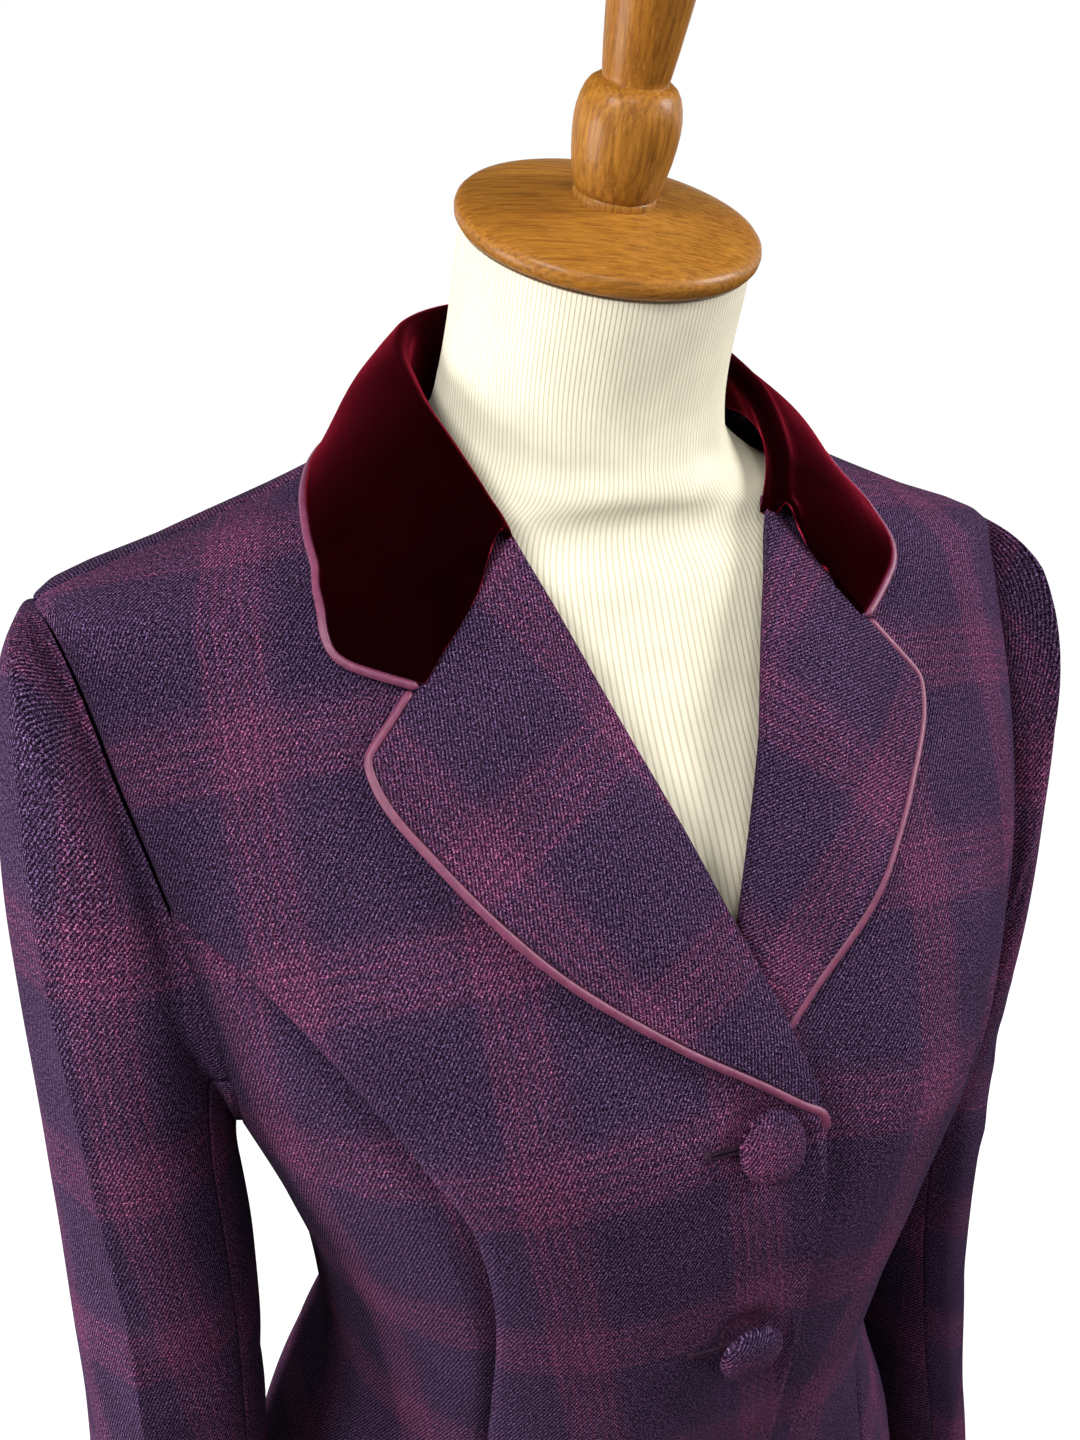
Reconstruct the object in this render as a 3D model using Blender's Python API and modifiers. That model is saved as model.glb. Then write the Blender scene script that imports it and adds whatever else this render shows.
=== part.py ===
# A tailored riding jacket with a velvet collar, hung on a limbless dress form.
# Metres, +Z up. The front faces -Y and the wearer's left is +X. The origin is under the foot of the
# stand. Drops are measured down from the side neck point, so a negative drop is above it.
import bisect
import math

import bpy
import bmesh
from mathutils import Matrix, Vector

# Driving dimensions
NECK_HEIGHT = 0.800        # side neck point above the floor
CLOTH = 0.002              # wall of the body and sleeves
LAPEL_WALL = 0.0026        # two layers of cloth
COLLAR_WALL = 0.0028       # velvet on its under collar
LAPEL_SWELL = 0.0034       # roundness of the lapel between its roll and its edge
LAPEL_CLEARANCE = 0.0017   # lapel off the front
SEAM = 0.0003              # gap between sewn pieces
SLEEVE_SEAM = 0.0006
HEM_DROP = 0.630
FRONT_LAP = 0.018          # front edge past the centre line
HEM_CORNER = 0.045         # radius of the front corners at the hem
VENT_TOP = 0.450           # drop where the centre back opens
VENT_SPREAD = 0.005        # half the opening at the hem
BREAK_DROP = 0.197         # where the lapel's roll line meets the front edge
BREAK_REACH = -0.016
GORGE_DROP = 0.030         # where the roll line meets the collar
GORGE_REACH = 0.050
GORGE_GAP = 0.0013         # collar off the lapel's top, along the body
NECK_TOP_DROP = 0.002      # top of the fronts beside the collar
NECK_TOP_REACH = 0.0675
ARMHOLE_TOP = 0.051
ARMHOLE_BOTTOM = 0.247
ARMHOLE_SWING = 25.3       # degrees of the body's section, each way from the side
ARMHOLE_FULLNESS = (0.80, 1.15)    # bow of its upper and lower halves, under 1 is fuller
ROPED_HEAD = 0.004         # the sleeve's head stands this far off its seam
HEAD_INSET = (0.25, 0.0006)    # the sleeve's first ring inside the armhole: degrees and drop
ROPED_INSET = (1.2, 0.002)
SEAM_TURN = 83.0           # degrees round the armhole, from its top, to the princess seams
PIPING_RADIUS = 0.0015
NOTCH_ACROSS = {-1: 0.66, 1: 0.60}    # share of the lapel's top that the collar is sewn to, right and left
NOTCH_PIPED = 0.08         # the lapel's piping starts this share past the collar
BUTTON_RADIUS = 0.0122
BUTTON_HEIGHT = 0.0062
BUTTON_DROPS = (0.208, 0.295, 0.382)
BUTTON_REACH = -0.004      # towards the wearer's right
BUTTON_CLEARANCE = 0.0010
NECK_TILT = 22.0           # degrees that the form's neck leans forward
CAP_CENTRE = (0.0, -0.012, 0.068)
CAP_RADIUS = 0.0524
CAP_HALF_RIM = 0.0042
CAP_CROWN = 0.0085
FORM_BOTTOM_DROP = 0.612
BASE_HEIGHT = 0.032

# How finely the sections are stepped
ROWS_BELOW_ARM = 13
HEM_ROWS = (0.0, 0.005, 0.014, 0.028)    # above the hem, round the front corners
TURNS_EACH_END = 5
TURNS_UNDER_ARM = 10
FRONT_COLUMNS = 9
BACK_COLUMNS = 8
LAPEL_STEPS = (15, 6)
COLLAR_STEPS_EACH_SIDE = 17
SLEEVE_ROWS = 18
FORM_STEPS = (30, 24)
TURNED_STEPS = 26
BUTTON_STEPS = 16


def table(columns, rows):
    return [dict(zip(columns.split(), row)) for row in rows]


# Body sections: half width, reach to the front and back of the section's centre, centre's y
BODY = table("drop half_width front back centre squareness", [
    (0.000, 0.070, 0.062, 0.052, 0.020, 2.00),
    (0.018, 0.110, 0.069, 0.060, 0.024, 2.00),
    (0.035, 0.154, 0.077, 0.070, 0.027, 2.00),
    (0.052, 0.196, 0.086, 0.082, 0.026, 2.10),
    (0.090, 0.195, 0.103, 0.105, 0.018, 2.20),
    (0.130, 0.188, 0.121, 0.118, 0.010, 2.30),
    (0.180, 0.174, 0.141, 0.123, 0.004, 2.35),
    (0.225, 0.158, 0.150, 0.120, 0.000, 2.35),
    (0.280, 0.138, 0.146, 0.112, 0.000, 2.30),
    (0.330, 0.124, 0.138, 0.103, 0.000, 2.25),
    (0.376, 0.120, 0.131, 0.098, 0.000, 2.20),
    (0.420, 0.134, 0.133, 0.110, 0.003, 2.20),
    (0.480, 0.155, 0.141, 0.132, 0.006, 2.20),
    (0.560, 0.168, 0.152, 0.152, 0.008, 2.20),
    (0.640, 0.174, 0.159, 0.164, 0.010, 2.20),
])

# Princess seams of the front and back: reach from the centre plane
PRINCESS = table("drop front back", [
    (0.137, None, None),       # on the armhole, worked out below
    (0.156, 0.1485, 0.1480),
    (0.180, 0.1290, 0.1250),
    (0.205, 0.1120, 0.1060),
    (0.235, 0.0960, 0.0890),
    (0.280, 0.0880, 0.0730),
    (0.330, 0.0855, 0.0640),
    (0.376, 0.0850, 0.0610),
    (0.450, 0.0920, 0.0690),
    (0.630, 0.1060, 0.0900),
])

# Outer edge of the lapel, from its corner to the break
LAPEL_EDGE = table("along right left drop", [
    (0.00, 0.1070, 0.0960, 0.0880),
    (0.08, 0.1050, 0.0935, 0.0965),
    (0.28, 0.0920, 0.0790, 0.1160),
    (0.52, 0.0650, 0.0510, 0.1460),
    (0.76, 0.0310, 0.0200, 0.1710),
    (0.92, 0.0030, -0.0020, 0.1885),
    (1.00, -0.0155, -0.0155, 0.2010),
])

# How far the left front is pushed in under the right one
UNDERLAP = table("drop depth", [
    (0.095, 0.0000),
    (0.155, 0.0094),
    (0.225, 0.0094),
    (0.275, 0.0034),
    (0.630, 0.0034),
])
UNDERLAP_REACH = (0.022, 0.060)    # full depth inside the first, none past the second

# Collar, from the gorge to the nape: fold line, outer edge on the body, seam at the neck
COLLAR = table("along fold_x fold_y fold_rise right_angle right_drop left_angle left_drop "
               "base_angle base_drop", [
    (0.00, 0.0524, -0.0477, -0.0240, 25.3, 0.0672, 25.3, 0.0620, 20.0, 0.0262),
    (0.04, 0.0540, -0.0457, -0.0212, 31.8, 0.0611, 28.4, 0.0513, 21.8, 0.0254),
    (0.08, 0.0556, -0.0435, -0.0184, 33.3, 0.0574, 30.2, 0.0481, 23.6, 0.0242),
    (0.12, 0.0573, -0.0406, -0.0150, 34.6, 0.0498, 33.7, 0.0430, 26.0, 0.0235),
    (0.18, 0.0597, -0.0362, -0.0095, 39.8, 0.0415, 38.8, 0.0363, 30.0, 0.0205),
    (0.30, 0.0636, -0.0215, 0.0018, 54.3, 0.0270, 49.5, 0.0205, 41.0, 0.0128),
    (0.42, 0.0663, -0.0025, 0.0126, 78.6, 0.0146, 70.0, 0.0098, 54.0, 0.0050),
    (0.55, 0.0650, 0.0200, 0.0220, 96.0, 0.0125, 96.0, 0.0125, 90.0, 0.0000),
    (0.70, 0.0550, 0.0470, 0.0320, 116.0, 0.0090, 116.0, 0.0090, 118.0, 0.0000),
    (0.85, 0.0310, 0.0650, 0.0370, 146.0, 0.0095, 146.0, 0.0095, 150.0, 0.0000),
    (1.00, 0.0000, 0.0710, 0.0390, 180.0, 0.0110, 180.0, 0.0110, 180.0, 0.0000),
])
GORGE_SEWN = 0.04           # share of the collar over which its edge runs into the notch
COLLAR_LIFT = 0.0044        # middle of the collar's wall above the body at its outer edge
COLLAR_BULGE = 0.0035
GORGE_BULGE = 0.35          # share of the bulge that is left at the gorge
STAND_INSET = 0.0026        # the stand's seam inside the neckline
STAND_FOOT = 0.001          # and above it
FOLD_HALF = 0.0032          # half the width of the rolled fold
FALL_STEPS = 5
COLLAR_CROWDING = 1.4       # stations crowd towards the gorge

# Sleeves: outer and inner edges of each section, half its depth, its centre's y
SLEEVE = table("along outer_x outer_drop inner_x inner_drop deep centre squareness", [
    (0.00, 0.1940, 0.0510, 0.1500, 0.2470, 0.0625, 0.0050, 2.00),
    (0.05, 0.2050, 0.0560, 0.1500, 0.2490, 0.0650, 0.0050, 2.00),
    (0.11, 0.2115, 0.0740, 0.1505, 0.2515, 0.0670, 0.0045, 2.05),
    (0.18, 0.2145, 0.1060, 0.1510, 0.2560, 0.0685, 0.0030, 2.10),
    (0.26, 0.2155, 0.1510, 0.1505, 0.2640, 0.0690, 0.0010, 2.15),
    (0.34, 0.2150, 0.2050, 0.1490, 0.2790, 0.0690, 0.0000, 2.20),
    (0.44, 0.2145, 0.2650, 0.1480, 0.3050, 0.0680, 0.0000, 2.25),
    (0.58, 0.2150, 0.3550, 0.1500, 0.3700, 0.0660, -0.0030, 2.30),
    (0.70, 0.2190, 0.4350, 0.1580, 0.4450, 0.0635, -0.0090, 2.30),
    (0.84, 0.2310, 0.5250, 0.1720, 0.5330, 0.0590, -0.0190, 2.30),
    (1.00, 0.2390, 0.6300, 0.1810, 0.6340, 0.0530, -0.0310, 2.30),
])

# The empty sleeves hang differently: shift of the outer and inner edge away from the body, and backwards
HANG = table("along right_outer right_inner right_back left_outer left_inner left_back", [
    (0.00, 0.0000, 0.0000, 0.0000, 0.0000, 0.0000, 0.0000),
    (0.06, 0.0000, 0.0000, 0.0000, -0.0050, 0.0000, 0.0000),
    (0.14, 0.0005, 0.0000, 0.0000, -0.0130, 0.0000, 0.0000),
    (0.26, 0.0040, 0.0005, 0.0000, -0.0195, -0.0010, 0.0012),
    (0.44, 0.0045, 0.0010, 0.0000, -0.0245, -0.0020, 0.0055),
    (0.58, 0.0045, 0.0010, 0.0000, -0.0270, -0.0020, 0.0080),
    (0.70, 0.0040, 0.0010, 0.0000, -0.0295, -0.0020, 0.0090),
    (0.84, 0.0030, 0.0010, 0.0000, -0.0310, -0.0020, 0.0100),
    (1.00, 0.0020, 0.0010, 0.0000, -0.0250, -0.0020, 0.0100),
])
SLEEVE_CROWDING = 1.25      # rings crowd towards the head

# Rings of the padded form, with the tilt that carries them into the neck
FORM = table("drop centre half_width front back tilt squareness", [
    (-0.0634, -0.0101, 0.0500, 0.0500, 0.0500, 22.0, 2.0),
    (-0.0350, 0.0013, 0.0505, 0.0515, 0.0505, 22.0, 2.0),
    (-0.0060, 0.0120, 0.0540, 0.0570, 0.0490, 14.0, 2.0),
    (0.0130, 0.0170, 0.0740, 0.0620, 0.0500, 6.0, 2.0),
    (0.0290, 0.0220, 0.1160, 0.0630, 0.0570, 0.0, 2.0),
    (0.0490, 0.0250, 0.1680, 0.0750, 0.0680, 0.0, 2.1),
    (0.0850, 0.0200, 0.1640, 0.0870, 0.0880, 0.0, 2.2),
    (0.1300, 0.0110, 0.1540, 0.1060, 0.1050, 0.0, 2.3),
    (0.1800, 0.0040, 0.1470, 0.1230, 0.1120, 0.0, 2.3),
    (0.2250, 0.0000, 0.1400, 0.1310, 0.1090, 0.0, 2.3),
    (0.2800, 0.0000, 0.1250, 0.1270, 0.1010, 0.0, 2.3),
    (0.3300, 0.0000, 0.1120, 0.1150, 0.0920, 0.0, 2.2),
    (0.3760, 0.0000, 0.1080, 0.1060, 0.0870, 0.0, 2.2),
    (0.4200, 0.0030, 0.1190, 0.1080, 0.0970, 0.0, 2.2),
    (0.4800, 0.0060, 0.1390, 0.1170, 0.1160, 0.0, 2.2),
    (0.5600, 0.0080, 0.1530, 0.1270, 0.1330, 0.0, 2.2),
    (FORM_BOTTOM_DROP, 0.0080, 0.1510, 0.1260, 0.1320, 0.0, 2.2),
])

# Turned profiles: radius and height above the foot of each piece, from the top down
FINIAL = [(0.0, 0.121), (0.0075, 0.1195), (0.0135, 0.114), (0.0165, 0.104), (0.0160, 0.090),
          (0.0145, 0.072), (0.0125, 0.052), (0.0106, 0.0375), (0.0140, 0.0355), (0.0166, 0.0310),
          (0.0175, 0.0250), (0.0168, 0.0165), (0.0150, 0.0080), (0.0138, 0.0030), (0.0138, 0.0)]
POLE = [(0.020, 1.0), (0.020, 0.94), (0.014, 0.90), (0.019, 0.82), (0.014, 0.74), (0.0155, 0.45),
        (0.018, 0.20), (0.024, 0.10), (0.024, 0.0)]    # heights as shares of its length
CAP = [(0.0158, CAP_CROWN), (0.0325, CAP_CROWN - 0.0012), (0.0461, CAP_HALF_RIM + 0.001),
       (0.0503, CAP_HALF_RIM), (CAP_RADIUS, CAP_HALF_RIM * 0.45), (CAP_RADIUS, -CAP_HALF_RIM * 0.45),
       (0.0508, -CAP_HALF_RIM)]
BASE = [(0.034, 0.0320), (0.132, 0.0250), (0.155, 0.0211), (0.165, 0.0134), (0.165, 0.0045), (0.162, 0.0)]
FORM_CROWDING = 1.5         # rings crowd towards the neck

COLOURS = {
    "plaid": (0.060, 0.026, 0.045, 1.0),
    "velvet": (0.070, 0.006, 0.014, 1.0),
    "piping": (0.180, 0.045, 0.075, 1.0),
    "jersey": (0.720, 0.640, 0.480, 1.0),
    "wood": (0.320, 0.150, 0.045, 1.0),
}
ROUGHNESS = {"plaid": 0.85, "velvet": 0.80, "piping": 0.40, "jersey": 0.90, "wood": 0.35}


# Small helpers

def lookup(rows, column, at, key="drop"):
    """Value of a table's column on a smooth curve that doesn't overshoot its rows."""
    keys = [row[key] for row in rows]
    values = [row[column] for row in rows]
    at = min(max(at, keys[0]), keys[-1])
    k = min(bisect.bisect_right(keys, at) - 1, len(keys) - 2)
    slopes = [(values[i + 1] - values[i]) / (keys[i + 1] - keys[i]) for i in range(len(keys) - 1)]

    def tangent(i):
        if i == 0 or i == len(slopes):
            return slopes[min(i, len(slopes) - 1)]
        before, after = slopes[i - 1], slopes[i]
        return 2 * before * after / (before + after) if before * after > 0 else 0.0

    step = keys[k + 1] - keys[k]
    f = (at - keys[k]) / step
    value = values[k] * (1 + 2 * f) * (1 - f) ** 2 + values[k + 1] * f * f * (3 - 2 * f)
    return value + step * f * (1 - f) * (tangent(k) * (1 - f) - tangent(k + 1) * f)


def mix(a, b, f):
    return a + (b - a) * f


def ease(f):
    f = min(max(f, 0.0), 1.0)
    return f * f * (3 - 2 * f)


def bowed(value, power):
    return math.copysign(abs(value) ** power, value)


def spread(start, stop, count):
    return [mix(start, stop, k / count) for k in range(count + 1)]


def mirrored(point, side):
    return Vector((point.x * side, point.y, point.z))


# The jacket's body surface

def body_at(angle, drop):
    """Point at an angle from the centre front, in degrees, towards the wearer's left."""
    row = {name: lookup(BODY, name, drop) for name in BODY[0] if name != "drop"}
    across, along = math.sin(math.radians(angle)), math.cos(math.radians(angle))
    power = 2 / row["squareness"]
    depth = row["front"] if along > 0 else row["back"]
    return Vector((row["half_width"] * bowed(across, power),
                   row["centre"] - depth * bowed(along, power),
                   NECK_HEIGHT - drop))


def body_normal(angle, drop):
    da, dd = 0.05, 0.0002
    along = body_at(angle + da, drop) - body_at(angle - da, drop)
    up = body_at(angle, drop - dd) - body_at(angle, drop + dd)
    return along.cross(up).normalized()


def on_body(angle, drop, lift=0.0):
    return body_at(angle, drop) + body_normal(angle, drop) * lift


def angle_at(reach, drop, back=False):
    share = reach / lookup(BODY, "half_width", drop)
    angle = math.degrees(math.asin(bowed(min(max(share, -1), 1), lookup(BODY, "squareness", drop) / 2)))
    return 180 - angle if back else angle


def seam_angle(angle, drop, slant=1.0):
    """Half a seam gap as an angle of the section; slant is the sine of the seam's angle to it."""
    step = 0.05
    length = (body_at(angle + step, drop) - body_at(angle - step, drop)).length
    return SEAM / 2 * 2 * step / length / slant


# The armhole: a turn of 0 is its top, 90 its front, 180 the underarm

def armhole_drop(turn, inset=0.0):
    half = (ARMHOLE_BOTTOM - ARMHOLE_TOP) / 2
    return (ARMHOLE_BOTTOM + ARMHOLE_TOP) / 2 - (half - inset) * math.cos(math.radians(turn))


def armhole_angle(turn, inset=0.0):
    across = math.sin(math.radians(turn))
    fullness = ARMHOLE_FULLNESS[0 if math.cos(math.radians(turn)) > 0 else 1]
    return 90 - (ARMHOLE_SWING - inset) * bowed(across, fullness)


END_TURNS = spread(0.0, SEAM_TURN, TURNS_EACH_END)
UNDER_TURNS = spread(SEAM_TURN, 360 - SEAM_TURN, TURNS_UNDER_ARM)
SLEEVE_TURNS = END_TURNS + UNDER_TURNS[1:] + [360 - turn for turn in reversed(END_TURNS[:-1])]
SEAM_DROP = armhole_drop(SEAM_TURN)
PRINCESS[0].update(drop=SEAM_DROP)
for name in ("front", "back"):
    PRINCESS[0][name] = body_at(armhole_angle(SEAM_TURN), SEAM_DROP).x
LOWER_DROPS = [HEM_DROP - rise for rise in HEM_ROWS]
LOWER_DROPS += spread(HEM_DROP - HEM_CORNER, SEAM_DROP, ROWS_BELOW_ARM)
ARM_DROPS = [armhole_drop(turn) for turn in reversed(END_TURNS)]
TOP_DROPS = [0.042, GORGE_DROP, 0.022, 0.012, NECK_TOP_DROP]
PANEL_DROPS = LOWER_DROPS + ARM_DROPS[1:] + TOP_DROPS


# Where the panels end

def front_edge(drop):
    """Reach of the front's free edge: straight, then the roll line, then the neckline."""
    if drop >= BREAK_DROP:
        above_hem = HEM_DROP - drop
        if above_hem >= HEM_CORNER:
            return -FRONT_LAP
        rise = HEM_CORNER - above_hem
        return HEM_CORNER - FRONT_LAP - math.sqrt(max(HEM_CORNER ** 2 - rise ** 2, 0.0))
    if drop >= GORGE_DROP:
        return mix(BREAK_REACH, GORGE_REACH, (BREAK_DROP - drop) / (BREAK_DROP - GORGE_DROP))
    share = (GORGE_DROP - drop) / (GORGE_DROP - NECK_TOP_DROP)
    return mix(GORGE_REACH, NECK_TOP_REACH, share)


def seam_edge(drop, column):
    """Angle of a panel's side seam: princess seam, then armhole, then shoulder seam."""
    back = column == "back"
    if drop >= SEAM_DROP - 1e-6:
        return angle_at(lookup(PRINCESS, column, drop), drop, back)
    if drop <= ARMHOLE_TOP + 1e-6:
        return 90.0
    middle, half = (ARMHOLE_BOTTOM + ARMHOLE_TOP) / 2, (ARMHOLE_BOTTOM - ARMHOLE_TOP) / 2
    turn = math.degrees(math.acos((middle - drop) / half))
    return armhole_angle(360 - turn if back else turn)


def seam_slant(drop, column):
    """Sine of the angle at which a princess seam crosses the level section."""
    if drop < SEAM_DROP - 1e-6:
        return 1.0
    step = 0.004
    low, high = min(drop + step, HEM_DROP), max(drop - step, SEAM_DROP)
    run = body_at(seam_edge(low, column), low) - body_at(seam_edge(high, column), high)
    return max(abs(run.normalized().z), 0.35)


def sink(reach, drop, side):
    """How far a left piece lies in under the right front."""
    if side < 0:
        return 0.0
    inner, outer = UNDERLAP_REACH
    return lookup(UNDERLAP, "depth", drop) * (1 - ease((reach - inner) / (outer - inner)))


def back_vent(drop):
    return VENT_SPREAD * ease((drop - VENT_TOP) / (HEM_DROP - VENT_TOP))


# Objects

def paint(obj, slot):
    material = bpy.data.materials.get(slot)
    if material is None:
        material = bpy.data.materials.new(slot)
        material.use_nodes = True
        shader = material.node_tree.nodes["Principled BSDF"]
        shader.inputs["Base Color"].default_value = COLOURS[slot]
        shader.inputs["Roughness"].default_value = ROUGHNESS[slot]
        shader.inputs["Metallic"].default_value = 0.0
    obj.data.materials.append(material)


def add_object(name, data, slot):
    obj = bpy.data.objects.new(name, data)
    jacket.objects.link(obj)
    paint(obj, slot)
    return obj


def mesh_from(bm, name):
    bmesh.ops.recalc_face_normals(bm, faces=bm.faces)
    mesh = bpy.data.meshes.new(name)
    bm.to_mesh(mesh)
    bm.free()
    mesh.shade_smooth()
    mesh.set_sharp_from_angle(angle=math.radians(45))
    return mesh


def cloth_wall(name, outer, inner, slot):
    """A wall between two sheets of points, each a list of rows of the same length. The rim's
    diagonals run the same way on both sides of a seam, so that twisted edges don't cross."""
    bm = bmesh.new()
    faces = [[[bm.verts.new(point) for point in row] for row in sheet] for sheet in (outer, inner)]
    rows, columns = len(outer), len(outer[0])
    for verts in faces:
        for i in range(rows - 1):
            for j in range(columns - 1):
                bm.faces.new((verts[i][j], verts[i][j + 1], verts[i + 1][j + 1], verts[i + 1][j]))
    rim = [(i, 0) for i in range(rows)] + [(rows - 1, j) for j in range(1, columns)]
    rim += [(i, columns - 1) for i in range(rows - 2, -1, -1)]
    rim += [(0, j) for j in range(columns - 2, 0, -1)]
    for (i, j), (m, n) in zip(rim, rim[1:] + rim[:1]):
        a, b, c, d = faces[0][i][j], faces[0][m][n], faces[1][m][n], faces[1][i][j]
        for corners in ((a, b, c), (a, c, d)) if m >= i else ((a, b, d), (b, c, d)):
            bm.faces.new(corners)
    add_object(name, mesh_from(bm, name), slot)


def sheet_normals(sheet, closed=False):
    """Normals of a sheet of points, across its columns and down its rows."""
    rows, columns = len(sheet), len(sheet[0])
    normals = []
    for i in range(rows):
        line = []
        for j in range(columns):
            before, after = (j - 1, j + 1) if closed else (max(j - 1, 0), min(j + 1, columns - 1))
            across = sheet[i][after % columns] - sheet[i][before % columns]
            down = sheet[min(i + 1, rows - 1)][j] - sheet[max(i - 1, 0)][j]
            line.append(across.cross(down).normalized())
        normals.append(line)
    return normals


def turned(name, profile, slot, steps=TURNED_STEPS):
    """A turned solid from a profile of (radius, height), top to bottom, closed on its axis."""
    bm = bmesh.new()
    points = list(profile)
    if points[0][0] > 0:
        points = [(0.0, points[0][1])] + points
    points = points + [(0.0, points[-1][1])]
    verts = [bm.verts.new((radius, 0.0, height)) for radius, height in points]
    for a, b in zip(verts, verts[1:]):
        bm.edges.new((a, b))
    mesh = bpy.data.meshes.new(name)
    bm.to_mesh(mesh)
    bm.free()
    obj = add_object(name, mesh, slot)
    screw = obj.modifiers.new("Turn", "SCREW")
    screw.steps = steps
    screw.render_steps = steps
    screw.use_merge_vertices = True
    screw.merge_threshold = 0.00001
    screw.use_smooth_shade = True
    return obj


def cord(name, points, radius, slot):
    curve = bpy.data.curves.new(name, "CURVE")
    curve.dimensions = "3D"
    curve.bevel_depth = radius
    curve.bevel_resolution = 1
    curve.use_fill_caps = True
    spline = curve.splines.new("POLY")
    spline.points.add(len(points) - 1)
    for target, point in zip(spline.points, points):
        target.co = (*point, 1.0)
    return add_object(name, curve, slot)


# Body panels

def body_panel(name, side, grid):
    """A panel from rows of (angle, drop, sink)."""
    sheets = []
    for depth in (0.0, CLOTH):
        sheets.append([[mirrored(on_body(angle, drop, -sunk - depth), side) for angle, drop, sunk in row]
                       for row in grid])
    cloth_wall(name, sheets[0], sheets[1], "plaid")


def build_front(name, side):
    grid = []
    for drop in PANEL_DROPS:
        start = angle_at(front_edge(drop), drop)
        end = seam_edge(drop, "front")
        end -= seam_angle(end, drop, seam_slant(drop, "front"))
        row = []
        for angle in spread(start, end, FRONT_COLUMNS):
            reach = body_at(angle, drop).x
            row.append((angle, drop, sink(reach, drop, side)))
        grid.append(row)
    body_panel(name, side, grid)


def build_back(name, side):
    grid = []
    for drop in PANEL_DROPS[:-1] + [0.0]:
        start = seam_edge(drop, "back")
        start += seam_angle(start, drop, seam_slant(drop, "back"))
        end = angle_at(SEAM / 2 + back_vent(drop), drop, back=True)
        grid.append([(angle, drop, 0.0) for angle in spread(start, end, BACK_COLUMNS)])
    body_panel(name, side, grid)


def build_side(name, side):
    """The side body: its columns end on the armhole, where the sleeve's sections start."""
    columns = []
    for k, turn in enumerate(UNDER_TURNS):
        top = armhole_drop(turn)
        share = k / TURNS_UNDER_ARM
        ends = [seam_edge(max(top, SEAM_DROP), column) for column in ("front", "back")]
        top_share = (armhole_angle(turn) - ends[0]) / (ends[1] - ends[0])
        column = []
        for level in LOWER_DROPS:
            drop = HEM_DROP + (level - HEM_DROP) * (top - HEM_DROP) / (SEAM_DROP - HEM_DROP)
            front, back = seam_edge(drop, "front"), seam_edge(drop, "back")
            front += seam_angle(front, drop, seam_slant(drop, "front"))
            back -= seam_angle(back, drop, seam_slant(drop, "back"))
            f = mix(share, top_share, ((HEM_DROP - level) / (HEM_DROP - SEAM_DROP)) ** 2)
            column.append((mix(front, back, f), drop, 0.0))
        columns.append(column)
    grid = [[column[i] for column in columns] for i in range(len(LOWER_DROPS))]
    body_panel(name, side, grid)


# Lapels and collar

def lapel_place(along, across, side):
    """Reach and drop of a point of the lapel, from the roll line out to its edge."""
    edge = lookup(LAPEL_EDGE, "left" if side > 0 else "right", along, "along")
    edge_drop = lookup(LAPEL_EDGE, "drop", along, "along")
    return (mix(mix(GORGE_REACH, BREAK_REACH, along), edge, across),
            mix(mix(GORGE_DROP, BREAK_DROP, along), edge_drop, across))


def lapel_point(along, across, side, depth):
    """Point of the lapel, at a depth from its face; it swells a little between its edges."""
    reach, drop = lapel_place(along, across, side)
    swell = LAPEL_SWELL * math.sin(math.pi * min(across * 1.25, 1.0)) * ease(along / 0.2) * (1 - along ** 3)
    lift = LAPEL_CLEARANCE + LAPEL_WALL + swell - depth - sink(reach, drop, side)
    return mirrored(on_body(angle_at(reach, drop), drop, lift), side)


def build_lapel(name, side):
    along_steps, across_steps = LAPEL_STEPS
    sheets = []
    for depth in (0.0, LAPEL_WALL):
        sheets.append([[lapel_point(along, across, side, depth) for across in spread(0, 1, across_steps)]
                       for along in spread(0, 1, along_steps)])
    cloth_wall(name, sheets[0], sheets[1], "plaid")


def lapel_piping_path(side):
    """Along the lapel's free top from the notch, round its corner and down to the break."""
    middle = LAPEL_WALL / 2
    points, inward = [], []
    for across in spread(NOTCH_ACROSS[side] + NOTCH_PIPED, 1.0, 4):
        points.append(lapel_point(0.0, across, side, middle))
        inward.append(lapel_point(0.07, across * 0.95, side, middle))
    for along in spread(0.0, 1.0, 2 * LAPEL_STEPS[0])[1:]:
        points.append(lapel_point(along, 1.0, side, middle))
        inward.append(lapel_point(max(along, 0.05), 0.9, side, middle))
    return pushed_out(points, inward, PIPING_RADIUS + 2 * SEAM)


def pushed_out(points, inward, distance):
    """Points moved away from a line of points inside them, square to their own run."""
    path = []
    for k, point in enumerate(points):
        run = (points[min(k + 1, len(points) - 1)] - points[max(k - 1, 0)]).normalized()
        away = point - inward[k]
        away -= run * away.dot(run)
        path.append(point + away.normalized() * distance)
    return path


def gorge_end(side):
    """Angle and drop where the collar's edge meets the notch, just off the lapel's top."""
    start, end = Vector(lapel_place(0.0, 0.0, side)), Vector(lapel_place(0.0, NOTCH_ACROSS[side], side))
    run = (end - start).normalized()
    reach, drop = end + Vector((run.y, -run.x)) * GORGE_GAP
    return angle_at(reach, drop), drop


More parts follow.
